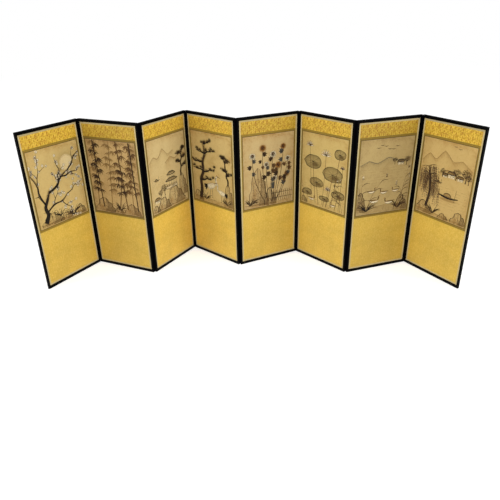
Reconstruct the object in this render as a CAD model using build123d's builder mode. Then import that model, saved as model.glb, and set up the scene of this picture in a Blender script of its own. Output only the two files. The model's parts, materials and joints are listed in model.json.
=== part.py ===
from build123d import *
import os
from math import atan2, degrees

# Table-top folding screen: eight papered panels in lacquered frames, joined edge to edge by cloth
# hinges that fold alternately forwards and backwards.
#
# Row frame: +X along the standing screen from the viewer's left to right, +Y away from the
# viewer, +Z up, origin at the middle of the footprint on the table.
# Panel frame: +X across the panel, +Y from its front face to its back, +Z up, origin at the
# bottom left corner of the front face.

os.makedirs("parts", exist_ok=True)

# ---------------------------------------------------------------- driving sizes, mm and degrees

# Whole panel, across the lacquered mouldings
panel_height = 450.0
panel_width = 199.0
panel_depth = 6.8

# How far each hinge is folded from flat as the screen stands. The odd hinges fold the front
# faces together and lie away from the viewer, the even ones fold the backs together.
fold_angles = (83.2, 83.8, 101.9, 69.1, 76.1, 67.7, 78.0)

# Lacquered mouldings: the width that each shows from the front
stile_face = 5.7
top_rail_face = 8.2
bottom_rail_face = 9.1
arris_radius = 0.5

# Layers, counted from the front: silk and picture lie on the front paper, the papers on the core
front_reveal = 0.8
back_reveal = 0.6
silk_thickness = 0.3
border_thickness = 0.4
picture_thickness = 0.25
paper_thickness = 0.4

# Mounting of the front, from the top down
paper_line = 4.6
brocade_height = 35.2
border_rail = 7.4
border_stile = 5.0
picture_height = 216.0

# Lattice core, glued up from softwood battens
core_stile_width = 14.0
core_rail_width = 14.0
rib_width = 7.0
cross_rib_count = 4

# Cloth hinge: a leaf on each of the two edges that it joins, and the rolled fold between them.
# The fold line stands clear of both leaves, and proud of the faces that close on each other.
cloth_thickness = 0.4
cloth_end_margin = 0.5
fold_clearance = 0.2
fold_proud = 0.15
fold_running_clearance = 0.05

# Fits
glue_line = 0.05

# ---------------------------------------------------------------- sizes that follow

panel_count = len(fold_angles) + 1
opening_width = panel_width - 2 * stile_face
opening_height = panel_height - top_rail_face - bottom_rail_face
opening_top = panel_height - top_rail_face

mount_left = stile_face + paper_line
mount_width = opening_width - 2 * paper_line
mount_top = opening_top - paper_line
mount_bottom = bottom_rail_face + paper_line
brocade_bottom = mount_top - brocade_height
border_height = picture_height + 2 * border_rail
border_bottom = brocade_bottom - border_height
picture_width = mount_width - 2 * border_stile

paper_front_depth = front_reveal + silk_thickness
core_front_depth = paper_front_depth + paper_thickness
core_back_depth = panel_depth - back_reveal - paper_thickness
core_thickness = core_back_depth - core_front_depth

hinge_half_gap = cloth_thickness + fold_clearance
fold_radius = fold_clearance - fold_running_clearance
cloth_height = panel_height - 2 * cloth_end_margin


# ---------------------------------------------------------------- where each panel stands


def folds_forward(hinge: int) -> bool:
    """Whether hinge number `hinge`, counted from 1, folds the two front faces together."""
    return hinge % 2 == 1


def fold_line_depth(hinge: int) -> float:
    """Depth of a hinge's fold line behind the front faces: just proud of the face it closes."""
    return -fold_proud if folds_forward(hinge) else panel_depth + fold_proud


def chain_of_panels() -> list[Location]:
    """The panels' places with the first one along +X, each carried on by its hinge."""
    places = [Location((0, 0, 0))]
    for hinge, fold in enumerate(fold_angles, start=1):
        turn = -fold if folds_forward(hinge) else fold
        depth = fold_line_depth(hinge)
        to_fold_line = Location((panel_width + hinge_half_gap, depth, 0), (0, 0, turn))
        places.append(places[-1] * to_fold_line * Location((hinge_half_gap, -depth, 0)))
    return places


def footprint(place: Location, number: int) -> list[Vector]:
    """The four corners of one panel's foot, with its hinge leaves."""
    left = -cloth_thickness if number > 1 else 0
    right = panel_width + (cloth_thickness if number < panel_count else 0)
    corners = [(left, 0), (right, 0), (right, panel_depth), (left, panel_depth)]
    return [(place * Location((x, y, 0))).position for x, y in corners]


def standing_panels() -> list[Location]:
    """The panels' places with the free ends level along X and the footprint centred."""
    places = chain_of_panels()
    far_end = (places[-1] * Location((panel_width, 0, 0))).position
    levelled = Location((0, 0, 0), (0, 0, -degrees(atan2(far_end.Y, far_end.X))))
    places = [levelled * place for place in places]
    corners = [point for number, place in enumerate(places, 1) for point in footprint(place, number)]
    across = [point.X for point in corners]
    along = [point.Y for point in corners]
    centred = Location((-(min(across) + max(across)) / 2, -(min(along) + max(along)) / 2, 0))
    return [centred * place for place in places]


def face_plane(place: Location) -> Plane:
    """Upright plane of a panel's front face: x across it, y up it, normal towards the viewer."""
    return Plane(place * Location((0, 0, 0), (90, 0, 0)))


# ---------------------------------------------------------------- pieces of one panel


def rectangle_from(left: float, bottom: float, width: float, height: float):
    """A rectangle placed by its lower left corner in the sketch that is open."""
    with Locations((left, bottom)):
        Rectangle(width, height, align=(Align.MIN, Align.MIN))


def mitred_ring(front, left, bottom, width, height, stile, bottom_rail, top_rail, thickness):
    """Four strips round a rectangle, mitred at its corners with a glue line between them."""
    inner_width = width - 2 * stile
    inner_height = height - bottom_rail - top_rail
    right = left + width
    top = bottom + height
    with BuildPart() as ring:
        with BuildSketch(front):
            rectangle_from(left, bottom, width, height)
            with Locations((left + stile, bottom + bottom_rail)):
                Rectangle(
                    inner_width, inner_height, align=(Align.MIN, Align.MIN), mode=Mode.SUBTRACT
                )
            for x, inward in ((left, 1), (right, -1)):
                for y, rise in ((bottom, bottom_rail), (top, -top_rail)):
                    run = Vector(inward * stile, rise)
                    corner = Vector(x, y)
                    past = run.normalized() * glue_line
                    with BuildLine():
                        Line(corner - past, corner + run + past)
            trace(line_width=glue_line, mode=Mode.SUBTRACT)
        extrude(amount=-thickness)
    return ring


def lacquered_frame(front: Plane) -> Part:
    """The four mouldings round the panel, with every long arris eased."""
    ring = mitred_ring(
        front, 0, 0, panel_width, panel_height, stile_face, bottom_rail_face, top_rail_face, panel_depth
    )
    with BuildPart() as frame:
        add(ring.part)
        lengthways = frame.edges().filter_by(Axis.Z) + frame.edges().filter_by(
            Axis(front.origin, front.x_dir)
        )
        fillet(lengthways, arris_radius)
    return frame.part


def lattice_core(front: Plane) -> Part:
    """Softwood lattice inside the panel: stiles, rails, cross ribs and a middle upright."""
    inner_left = stile_face + core_stile_width
    inner_width = opening_width - 2 * core_stile_width
    first_bay = bottom_rail_face + core_rail_width
    bay_height = (opening_height - 2 * core_rail_width - cross_rib_count * rib_width) / (
        cross_rib_count + 1
    )
    with BuildPart() as core:
        with BuildSketch(front.offset(-core_front_depth)):
            for left in (stile_face, stile_face + opening_width - core_stile_width):
                rectangle_from(left, bottom_rail_face, core_stile_width, opening_height)
            for bottom in (bottom_rail_face, opening_top - core_rail_width):
                rectangle_from(
                    inner_left + glue_line, bottom, inner_width - 2 * glue_line, core_rail_width
                )
            for rib in range(cross_rib_count):
                bottom = first_bay + bay_height + rib * (bay_height + rib_width)
                rectangle_from(
                    inner_left + glue_line, bottom, inner_width - 2 * glue_line, rib_width
                )
            for bay in range(cross_rib_count + 1):
                bottom = first_bay + bay * (bay_height + rib_width) + glue_line
                rectangle_from(
                    (panel_width - rib_width) / 2, bottom, rib_width, bay_height - 2 * glue_line
                )
        extrude(amount=-core_thickness)
    return core.part


def papers(front: Plane) -> Part:
    """The front and back lining papers, pasted over the core inside the mouldings."""
    with BuildPart() as sheets:
        for depth in (paper_front_depth, core_back_depth):
            with BuildSketch(front.offset(-depth)):
                rectangle_from(stile_face, bottom_rail_face, opening_width, opening_height)
            extrude(amount=-paper_thickness)
    return sheets.part


def silk_fields(front: Plane) -> Part:
    """The brocade band over the picture and the plain silk field under it."""
    with BuildPart() as silk:
        with BuildSketch(front.offset(-front_reveal)):
            rectangle_from(mount_left, brocade_bottom, mount_width, brocade_height)
            rectangle_from(mount_left, mount_bottom, mount_width, border_bottom - mount_bottom)
        extrude(amount=-silk_thickness)
    return silk.part


def picture_border(front: Plane) -> Part:
    """The four border strips round the picture."""
    face = front.offset(border_thickness - paper_front_depth)
    ring = mitred_ring(
        face, mount_left, border_bottom, mount_width, border_height,
        border_stile, border_rail, border_rail, border_thickness,
    )
    return ring.part


def picture_sheet(front: Plane) -> Part:
    """The painted sheet inside its border."""
    with BuildPart() as picture:
        with BuildSketch(front.offset(picture_thickness - paper_front_depth)):
            rectangle_from(
                mount_left + border_stile, border_bottom + border_rail, picture_width, picture_height
            )
        extrude(amount=-picture_thickness)
    return picture.part


def hinge_leaves(front: Plane, foot: Plane, number: int) -> Part:
    """The cloth on the panel's edges: a leaf for each hinge, and the fold of the one on its right."""
    has_right_hinge = number < panel_count
    edges = []
    if number > 1:
        edges.append(-cloth_thickness)
    if has_right_hinge:
        edges.append(panel_width)
    with BuildPart() as leaves:
        with BuildSketch(front):
            for left in edges:
                rectangle_from(left, cloth_end_margin, cloth_thickness, cloth_height)
        extrude(amount=-panel_depth)
        if has_right_hinge:
            fold_depth = fold_line_depth(number)
            inwards = 1 if folds_forward(number) else -1
            fold = Vector(panel_width + hinge_half_gap, fold_depth)
            root = Vector(
                panel_width + cloth_thickness / 2, fold_depth + inwards * (fold_proud + cloth_thickness)
            )
            with BuildSketch(foot.offset(cloth_end_margin)):
                with BuildLine():
                    Line(fold, root)
                trace(line_width=2 * fold_radius)
                with Locations(fold):
                    Circle(fold_radius)
            extrude(amount=cloth_height)
    return leaves.part


# ---------------------------------------------------------------- the eight panels

for number, place in enumerate(standing_panels(), start=1):
    front = face_plane(place)
    pieces = {
        "core": lattice_core(front),
        "frame": lacquered_frame(front),
        "papers": papers(front),
        "silk": silk_fields(front),
        "border": picture_border(front),
        "picture": picture_sheet(front),
        "hinge_cloth": hinge_leaves(front, Plane(place), number),
    }
    for kind, piece in pieces.items():
        piece.label = f"panel_{number}_{kind}"
        export_step(piece, f"parts/{piece.label}.step")
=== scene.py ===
"""Looks of the eight-panel table-top folding screen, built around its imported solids.

Everything is in metres in the row frame: +X along the standing screen, +Y away from the viewer,
+Z up. A panel has its own frame too: x across the panel, y behind its front face and z up, from
the bottom left corner of the front face. Patterns and paintings are laid out in it, in millimetres.
"""

import json
import logging
import math
import random
from dataclasses import dataclass, field
from enum import Enum
from typing import Callable, Iterable, Sequence

import bmesh
import bpy
import numpy as np
from mathutils import Matrix, Vector

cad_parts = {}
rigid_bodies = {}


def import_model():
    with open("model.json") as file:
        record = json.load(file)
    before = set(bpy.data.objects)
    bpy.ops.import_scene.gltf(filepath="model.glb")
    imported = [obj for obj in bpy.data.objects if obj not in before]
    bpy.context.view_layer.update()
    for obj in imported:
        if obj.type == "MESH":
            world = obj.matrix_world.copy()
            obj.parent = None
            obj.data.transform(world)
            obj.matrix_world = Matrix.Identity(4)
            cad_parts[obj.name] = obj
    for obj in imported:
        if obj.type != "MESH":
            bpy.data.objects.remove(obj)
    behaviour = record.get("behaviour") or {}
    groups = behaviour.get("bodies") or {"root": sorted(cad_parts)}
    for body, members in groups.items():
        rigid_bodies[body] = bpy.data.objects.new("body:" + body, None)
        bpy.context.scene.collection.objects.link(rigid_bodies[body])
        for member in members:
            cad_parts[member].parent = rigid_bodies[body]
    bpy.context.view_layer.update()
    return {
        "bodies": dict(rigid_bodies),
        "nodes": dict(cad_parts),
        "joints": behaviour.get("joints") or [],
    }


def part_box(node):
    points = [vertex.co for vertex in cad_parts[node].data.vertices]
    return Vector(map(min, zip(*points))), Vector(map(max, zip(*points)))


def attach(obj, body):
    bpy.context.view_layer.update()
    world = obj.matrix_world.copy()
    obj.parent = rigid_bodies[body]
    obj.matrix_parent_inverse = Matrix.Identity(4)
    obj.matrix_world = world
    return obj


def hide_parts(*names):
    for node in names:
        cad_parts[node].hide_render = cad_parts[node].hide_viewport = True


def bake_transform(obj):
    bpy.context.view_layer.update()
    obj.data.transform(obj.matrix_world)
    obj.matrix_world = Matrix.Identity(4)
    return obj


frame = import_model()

MM = 0.001
PANEL_COUNT = len(frame["bodies"])
SHARP_ANGLE = math.radians(35)

# Direction up a picture, and the turn that stands the XY plane on its edge
UP = math.pi / 2
UPRIGHT = Matrix.Rotation(UP, 4, "X")

Colour = tuple[float, float, float]
Point = tuple[float, float]
Line = list[Point]

log = logging.getLogger("screen")


# ---- places


@dataclass(frozen=True)
class PanelPlace:
    """Where one panel stands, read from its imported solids."""

    number: int
    corner: Vector
    across: Vector
    front: Vector

    @classmethod
    def of(cls, number: int) -> "PanelPlace":
        """Finds a panel's place from its nodes.

        Args:
            number: The panel's number, counted from the left.

        Returns:
            The place, with its corner at the bottom left of the front face.
        """
        core, silk = (sum(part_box(f"panel_{number}_{kind}"), Vector()) for kind in ("core", "silk"))
        front = Vector((silk.x - core.x, silk.y - core.y, 0)).normalized()
        at_origin = cls(number, Vector(), Vector((-front.y, front.x, 0)), front)
        low, _ = at_origin.span("frame")
        return cls(number, at_origin.matrix() @ low, at_origin.across, front)

    def matrix(self) -> Matrix:
        """Takes a point of the panel's frame to the row frame."""
        turn = Matrix((self.across, -self.front, Vector((0, 0, 1)))).transposed()
        return Matrix.Translation(self.corner) @ turn.to_4x4()

    def node(self, kind: str) -> str:
        """Name of one of this panel's nodes."""
        return f"panel_{self.number}_{kind}"

    def body(self) -> str:
        """Name of this panel's body."""
        return f"panel_{self.number}"

    def span(self, kind: str) -> tuple[Vector, Vector]:
        """Lowest and highest corner of one of this panel's nodes, in the panel's frame.

        Args:
            kind: The last part of the node's name.

        Returns:
            The two corners.
        """
        mesh = frame["nodes"][self.node(kind)].data
        points = np.empty(len(mesh.vertices) * 3)
        mesh.vertices.foreach_get("co", points)
        points = points.reshape(-1, 3) - np.array(self.corner)
        axes = np.array((self.across, -self.front, (0, 0, 1)))
        local = points @ axes.T
        return Vector(local.min(0)), Vector(local.max(0))


# ---- node trees


def srgb(*parts: int) -> Colour:
    """Linear colour of an 8-bit one."""
    return tuple(((c / 255 + 0.055) / 1.055) ** 2.4 if c > 10 else c / 3294.6 for c in parts)


class Signal:
    """A value in a node tree. Arithmetic on it adds Math nodes to the tree."""

    def __init__(self, tree: "Tree", socket: bpy.types.NodeSocket) -> None:
        """Keeps the socket that gives the value, and its tree."""
        self.tree = tree
        self.socket = socket

    def __add__(self, other: "Value") -> "Signal":
        """Sum."""
        return self.tree.math("ADD", self, other)

    def __sub__(self, other: "Value") -> "Signal":
        """Difference."""
        return self.tree.math("SUBTRACT", self, other)

    def __rsub__(self, other: float) -> "Signal":
        """Difference from a number."""
        return self.tree.math("SUBTRACT", other, self)

    def __mul__(self, other: "Value") -> "Signal":
        """Product."""
        return self.tree.math("MULTIPLY", self, other)

    def __truediv__(self, other: "Value") -> "Signal":
        """Quotient."""
        return self.tree.math("DIVIDE", self, other)

    def __abs__(self) -> "Signal":
        """Size without its sign."""
        return self.tree.math("ABSOLUTE", self)


Value = float | Colour | Signal


class Tree:
    """Builds the node tree of one material."""

    def __init__(self, name: str, **constants: float) -> None:
        """Makes the material.

        Args:
            name: The material's name.
            **constants: Shader inputs that are the same all over, with _ for a space.
        """
        self.material = bpy.data.materials.new(name)
        self.material.use_nodes = True
        self.nodes = self.material.node_tree.nodes
        self.links = self.material.node_tree.links
        self.shader = self.nodes["Principled BSDF"]
        for socket, value in constants.items():
            self.surface(socket.replace("_", " "), value)

    def put(self, value: Value, socket: bpy.types.NodeSocket) -> None:
        """Links a signal to a socket, or sets a number or colour on it.

        Args:
            value: The signal, number or colour.
            socket: A node's input.
        """
        if isinstance(value, Signal):
            self.links.new(value.socket, socket)
        elif socket.type == "RGBA":
            socket.default_value = (*value, 1)
        else:
            socket.default_value = value

    def surface(self, name: str, value: Value) -> None:
        """Gives the shader one of its inputs."""
        self.put(value, self.shader.inputs[name])

    def add(self, kind: str, inputs: dict[str | int, Value], **settings: str) -> Signal:
        """Adds a node.

        Args:
            kind: The node's type, without ShaderNode.
            inputs: Values for its inputs, by name or number.
            **settings: The node's own properties.

        Returns:
            Its first output.
        """
        node = self.nodes.new(f"ShaderNode{kind}")
        for name, value in settings.items():
            setattr(node, name, value)
        for name, value in inputs.items():
            self.put(value, node.inputs[name])
        return Signal(self, node.outputs[0])

    def math(self, operation: str, *values: Value) -> Signal:
        """One Math node."""
        return self.add("Math", dict(enumerate(values)), operation=operation)

    def ramp(
        self, value: Value, low: float, high: float, to_low: float = 0, to_high: float = 1
    ) -> Signal:
        """Smooth step of a value between two levels, to two other levels."""
        inputs = {"Value": value, "From Min": low, "From Max": high, "To Min": to_low, "To Max": to_high}
        return self.add("MapRange", inputs, interpolation_type="SMOOTHSTEP")

    def mix(self, factor: Value, first: Value, second: Value, blend: str = "MIX") -> Signal:
        """Mix of two colours.

        Args:
            factor: Share of the second one.
            first: The first colour.
            second: The second colour.
            blend: How the second one is laid over the first.

        Returns:
            The mixed colour.
        """
        node = self.nodes.new("ShaderNodeMix")
        node.data_type = "RGBA"
        node.blend_type = blend
        for value, socket in ((factor, node.inputs[0]), (first, node.inputs[6]), (second, node.inputs[7])):
            self.put(value, socket)
        return Signal(self, node.outputs[2])

    def shaded(self, colour: Value, level: Value) -> Signal:
        """A colour multiplied by a level of grey."""
        return self.mix(1.0, colour, self.add("CombineXYZ", dict.fromkeys("XYZ", level)), "MULTIPLY")

    def polar(self, u: Signal, v: Signal) -> tuple[Signal, Signal]:
        """Radius and angle of a place."""
        squares = self.math("POWER", u, 2) + self.math("POWER", v, 2)
        return self.math("SQRT", squares), self.math("ARCTAN2", v, u)

    def bump(self, height: Value, distance: float, strength: float) -> None:
        """Raises the surface, by a distance in millimetres where height is 1."""
        inputs = {"Height": height, "Distance": distance * MM, "Strength": strength}
        self.surface("Normal", self.add("Bump", inputs))


class PanelTree(Tree):
    """Node tree of a material on one panel, with the place on the panel at hand in millimetres."""

    def __init__(self, name: str, place: PanelPlace, **constants: float) -> None:
        """Makes the material and reads the panel's frame from Object coordinates.

        Args:
            name: The material's name.
            place: The panel.
            **constants: Shader inputs that are the same all over, with _ for a space.
        """
        super().__init__(name, **constants)
        self.place = place
        inputs = {
            "Vector": Signal(self, self.nodes.new("ShaderNodeTexCoord").outputs["Object"]),
            "Location": place.corner,
            "Rotation": (0, 0, math.atan2(place.across.y, place.across.x)),
            "Scale": (MM, MM, MM),
        }
        self.at = self.add("Mapping", inputs, vector_type="TEXTURE")
        parts = self.nodes.new("ShaderNodeSeparateXYZ")
        self.put(self.at, parts.inputs[0])
        self.x, self.y, self.z = (Signal(self, part) for part in parts.outputs)

    def outside(self, kind: str) -> Signal:
        """Distance outside one of the panel's nodes, seen from the front, and below 0 inside it.

        Args:
            kind: The last part of the node's name.

        Returns:
            The distance in millimetres.
        """
        low, high = self.place.span(kind)
        reaches = []
        for axis, start, end in ((self.x, low.x, high.x), (self.z, low.z, high.z)):
            reaches.append(abs(axis - (start + end) / 2 / MM) - (end - start) / 2 / MM)
        return self.math("MAXIMUM", *reaches)

    def stretched(self, *scale: float) -> Signal:
        """The place multiplied on each axis."""
        return self.add("VectorMath", {0: self.at, 1: scale}, operation="MULTIPLY")

    def noise(
        self, scale: float, detail: float = 3, rough: float = 0.55, at: Signal | None = None
    ) -> Signal:
        """Noise of a number of bumps per unit, at the place or at another vector."""
        inputs = {"Vector": at or self.at, "Scale": scale, "Detail": detail, "Roughness": rough}
        return self.add("TexNoise", inputs)


# ---- finishes


class Finish:
    """A finish. Each subclass holds its colours and measures, and paints them on a node tree."""

    title = ""
    constants: dict[str, float] = {}

    def material(self, place: PanelPlace, name: str = "") -> bpy.types.Material:
        """Makes the finish for one panel.

        Args:
            place: The panel.
            name: The material's name, if it isn't the title and the panel's number.

        Returns:
            The material.
        """
        tree = PanelTree(name or f"{self.title}_{place.number}", place, **self.constants)
        self.paint(tree)
        return tree.material

    def paint(self, tree: PanelTree) -> None:
        """Paints the finish on a material's tree."""
        raise NotImplementedError


@dataclass(frozen=True)
class Lacquer(Finish):
    """Black lacquer on the mouldings, brushed on and rubbed a little along its arrises."""

    title = "lacquer"
    constants = {"Specular_IOR_Level": 0.03}
    colour: Colour = srgb(3, 3, 3)
    rubbed: Colour = srgb(30, 23, 18)

    def paint(self, tree: PanelTree) -> None:
        """Paints the black, its rubbed arrises and the smears of the brush.

        Args:
            tree: The material's tree.
        """
        arris = tree.ramp(tree.outside("frame"), -0.7, -0.1)
        patchy = tree.ramp(tree.noise(0.06, 5), 0.55, 0.75)
        tree.surface("Base Color", tree.mix(arris * patchy, self.colour, self.rubbed))
        smear = tree.noise(0.35, 4, at=tree.stretched(0.9, 0.9, 0.9))
        tree.surface("Roughness", tree.ramp(smear, 0.3, 0.7, 0.34, 0.5))
        tree.bump(tree.noise(0.5), 0.03, 0.5)


@dataclass(frozen=True)
class GoldSilk(Finish):
    """Figured gold silk: pale scrolling vines and russet flowers woven on a twilled ground."""

    constants = {"Sheen_Weight": 0.25, "Sheen_Roughness": 0.4, "Specular_IOR_Level": 0.35}
    ground: Colour = srgb(188, 148, 24)
    figure: Colour = srgb(226, 190, 72)
    accent: Colour = srgb(160, 100, 20)
    contrast: float = 1.0
    repeat: float = 12.5
    drift: float = 3.6
    # fade: painted light, the level by which the whole silk of one panel is lit or shaded
    fade: float = 1.0
    grain: float = 0.3
    thread: float = 0.5
    twill: float = 1.7
    scroll: float = 19
    petals: int = 6

    def vine(self, tree: PanelTree, x: Signal, z: Signal) -> tuple[Signal, Signal]:
        """Staggered flowers in scrolling tendrils, with a small quatrefoil between each four.

        Args:
            tree: The tree to build in.
            x: Distance across, in millimetres.
            z: Distance up, in millimetres.

        Returns:
            Two masks: 1 on the tendrils, and 1 on the flowers.
        """
        up = z / self.repeat
        odd_row = tree.math("PINGPONG", tree.math("FLOOR", up), 1.0)
        along = x / self.repeat + odd_row * 0.5
        odd_column = tree.math("PINGPONG", tree.math("FLOOR", along), 1.0)
        hand = odd_column * 2 - 1
        u = (tree.math("FRACT", along) - 0.5) * hand
        v = tree.math("FRACT", up) - 0.5
        radius, angle = tree.polar(u, v)
        tendril = tree.ramp(tree.math("COSINE", angle * 2 - radius * self.scroll), 0.2, 0.55)
        tendril = tendril * tree.ramp(radius, 0.5, 0.44) * tree.ramp(radius, 0.23, 0.27)
        petal = tree.math("COSINE", angle * self.petals)
        flower = tree.ramp(radius - petal * 0.045, 0.18, 0.15) * tree.ramp(petal, -0.95, -0.6)
        eye = tree.ramp(radius, 0.035, 0.055)
        reach, way = tree.polar(0.5 - abs(u), 0.5 - abs(v))
        quatrefoil = tree.ramp(reach - tree.math("COSINE", way * 4) * 0.05, 0.13, 0.1)
        return tendril, tree.math("MAXIMUM", flower, quatrefoil) * eye

    def paint(self, tree: PanelTree) -> None:
        """Paints the woven figure, its uneven dye, the threads, soft patches of tone and the panel's painted
        light level.

        Args:
            tree: The material's tree.
        """
        drifts = []
        for axis, apart in ((tree.x, 31.0), (tree.z, 57.0)):
            moved = tree.add("VectorMath", {0: tree.at, 1: (apart, 0, apart)}, operation="ADD")
            drifts.append(axis + (tree.noise(0.09, 2, at=moved) - 0.5) * self.drift)
        tendrils, flowers = self.vine(tree, *drifts)
        turns = math.tau / self.thread
        warp = tree.math("SINE", tree.x * turns)
        weft = tree.math("SINE", (tree.x + tree.z * self.twill) * turns)
        weave = (warp + weft) * 0.25
        slub = tree.noise(0.9, 2, at=tree.stretched(0.2, 1, 1.8))
        mottle = tree.noise(0.2, 2, 0.7)
        threads = weave * 0.12 + tree.ramp(slub, 0.3, 0.7, -0.08, 0.08)
        worn = tree.ramp(mottle, 0.38, 0.62, 0, 2 * self.grain)
        colour = tree.mix(tendrils * self.contrast + threads + worn, self.ground, self.figure)
        uneven = tree.noise(0.11, 2, 0.8)
        dyed = flowers * tree.ramp(uneven, 0.35, 0.6, 0.25, 1.0) + tree.ramp(uneven, 0.48, 0.68, 0.0, 0.5)
        colour = tree.mix(dyed * self.contrast, colour, self.accent)
        # Random soft patches of tone, times fade, the panel's painted light level
        cloud = tree.ramp(tree.noise(0.018), 0.3, 0.7, 0.93 * self.fade, 1.05 * self.fade)
        tree.surface("Base Color", tree.shaded(colour, cloud))
        figure = tree.math("MAXIMUM", tendrils, flowers)
        tree.surface("Roughness", tree.ramp(figure, 0, 1, 0.58, 0.42))
        tree.bump(figure * (0.7 * self.contrast) + weave * 0.4, 0.06, 0.6)


@dataclass(frozen=True)
class Lattice:
    """The battens of a panel's core, in millimetres, as the papers over them lie."""

    low: Vector
    high: Vector
    stile: float = 14.0
    rib: float = 7.0
    ribs: int = 4

    @classmethod
    def of(cls, place: PanelPlace) -> "Lattice":
        """The lattice inside one panel."""
        low, high = place.span("core")
        return cls(low / MM, high / MM)

    @property
    def middle(self) -> float:
        """Middle of the upright."""
        return (self.low.x + self.high.x) / 2

    @property
    def pitch(self) -> float:
        """Distance from one cross rib to the next."""
        inside = self.high.z - self.low.z - 2 * self.stile
        return (inside + self.rib) / (self.ribs + 1)

    @property
    def first_rib(self) -> float:
        """Height of the lowest cross rib's middle."""
        return self.low.z + self.stile + self.pitch - self.rib / 2

    def battens(self, tree: PanelTree) -> Signal:
        """Where the upright and the cross ribs lie.

        Args:
            tree: The tree to build in.

        Returns:
            A mask that is 1 over the battens.
        """
        from_upright = abs(tree.x - self.middle)
        from_rib = tree.math("PINGPONG", tree.z - self.first_rib, self.pitch / 2)
        half = self.rib / 2
        masks = [tree.ramp(distance, half + 1, half - 1) for distance in (from_upright, from_rib)]
        return tree.math("MAXIMUM", *masks)

    def slack(self, x: float, z: float) -> float:
        """How far the paper is drawn in at a place.

        Args:
            x: Distance across the panel.
            z: Height on the panel.

        Returns:
            A share, from 0 over a batten to 1 in the middle of a bay.
        """
        half = (self.high.x - self.low.x) / 2
        column = (half - abs(x - self.middle) - self.stile) / (half - self.stile - self.rib / 2)
        row = ((z - self.first_rib) / self.pitch) % 1
        row = (row * self.pitch - self.rib / 2) / (self.pitch - self.rib)
        ends = min(z - self.low.z, self.high.z - z) - self.stile
        if not (0 < column < 1 and 0 < row < 1 and ends > 0):
            return 0.0
        return (1 - (2 * column - 1) ** 4) * (1 - (2 * row - 1) ** 4)


@dataclass(frozen=True)
class LiningPaper(Finish):
    """Cream mulberry paper: long fibres in it, and a block-printed lattice on the sheet behind."""

    constants = {"Roughness": 0.85, "Specular_IOR_Level": 0.2}
    colour: Colour = srgb(205, 186, 134)
    fibre: Colour = srgb(184, 159, 106)
    print_colour: Colour = srgb(176, 146, 88)
    diamond: float = 18.0
    slope: float = 1.7
    # Painted shade: the level and the height of a darker strip along the paper's top, under the top rail
    top_shade_level: float = 0.78
    top_shade_reach: float = 5.0
    printed: bool = False

    def paint(self, tree: PanelTree) -> None:
        """Paints the fibres, the print, the tone of the battens, and painted shade along the top under the
        top rail.

        Args:
            tree: The material's tree.
        """
        along = tree.ramp(tree.noise(0.8, 4, at=tree.stretched(0.15, 1, 1.6)), 0.6, 0.72)
        upright = tree.ramp(tree.noise(0.8, 4, at=tree.stretched(1.6, 1, 0.15)), 0.62, 0.74)
        fibres = tree.math("MAXIMUM", along, upright) * 0.55
        colour = tree.mix(fibres, self.colour, self.fibre)
        lattice = Lattice.of(tree.place)
        if self.printed:
            colour = tree.mix(self.pattern(tree), colour, self.print_colour)
            colour = tree.mix(lattice.battens(tree) * 0.22, colour, self.fibre)
        # Painted shade: the paper is darker along its top, under the top rail
        shade_start = lattice.high.z - self.top_shade_reach
        painted_top_shade = tree.ramp(tree.z, shade_start - 1, shade_start + 1, 1.0, self.top_shade_level)
        cloud = tree.ramp(tree.noise(0.012), 0.3, 0.7, 0.93, 1.03)
        tree.surface("Base Color", tree.shaded(colour, cloud * painted_top_shade))
        tree.bump(fibres + tree.noise(1.2), 0.03, 0.6)

    def pattern(self, tree: PanelTree) -> Signal:
        """Worn print of a lattice of double lines, with a rosette in each diamond.

        Args:
            tree: The tree to build in.

        Returns:
            How much of the print's colour shows.
        """
        half = self.diamond / 2
        climb = tree.x * self.slope
        lines = [tree.math("PINGPONG", slope, half) for slope in (climb + tree.z, climb - tree.z)]
        bands = tree.ramp(abs(tree.math("MINIMUM", *lines) - 1.1), 0.55, 0.3)
        far = tree.math("MAXIMUM", *[half - line for line in lines])
        pattern = tree.math("MAXIMUM", bands, tree.ramp(far, 2.6, 2.2))
        return pattern * tree.ramp(tree.noise(0.12, 4), 0.3, 0.6, 0.35, 0.9)


@dataclass(frozen=True)
class BorderPaper(Finish):
    """Olive silk-faced paper of the strips round a picture, with a fine ribbed weave."""

    title = "border_paper"
    constants = {"Roughness": 0.6, "Sheen_Weight": 0.15, "Specular_IOR_Level": 0.3}
    colour: Colour = srgb(156, 126, 34)
    dark: Colour = srgb(122, 97, 26)
    line: Colour = srgb(74, 57, 20)
    line_width: float = 1.4
    rib: float = 0.45
    # fade: painted light, the level by which the border of one panel is lit or shaded
    fade: float = 1.0

    def paint(self, tree: PanelTree) -> None:
        """Paints the weave, with a dark line along the border's inner edge, lit or shaded by the panel's
        painted light level.

        Args:
            tree: The material's tree.
        """
        ribs = [tree.math("SINE", axis * (math.tau / self.rib)) for axis in (tree.x, tree.z)]
        weave = tree.math("MULTIPLY", *ribs)
        patchy = tree.ramp(tree.noise(0.7, 5), 0.15, 0.85)
        colour = tree.mix(patchy + weave * 0.2, self.colour, self.dark)
        inner = tree.ramp(tree.outside("picture"), self.line_width + 0.4, self.line_width - 0.4)
        # fade paints this panel's light or shade over the border
        tree.surface("Base Color", tree.shaded(tree.mix(inner, colour, self.line), self.fade))
        tree.bump(weave, 0.03, 0.6)


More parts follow.
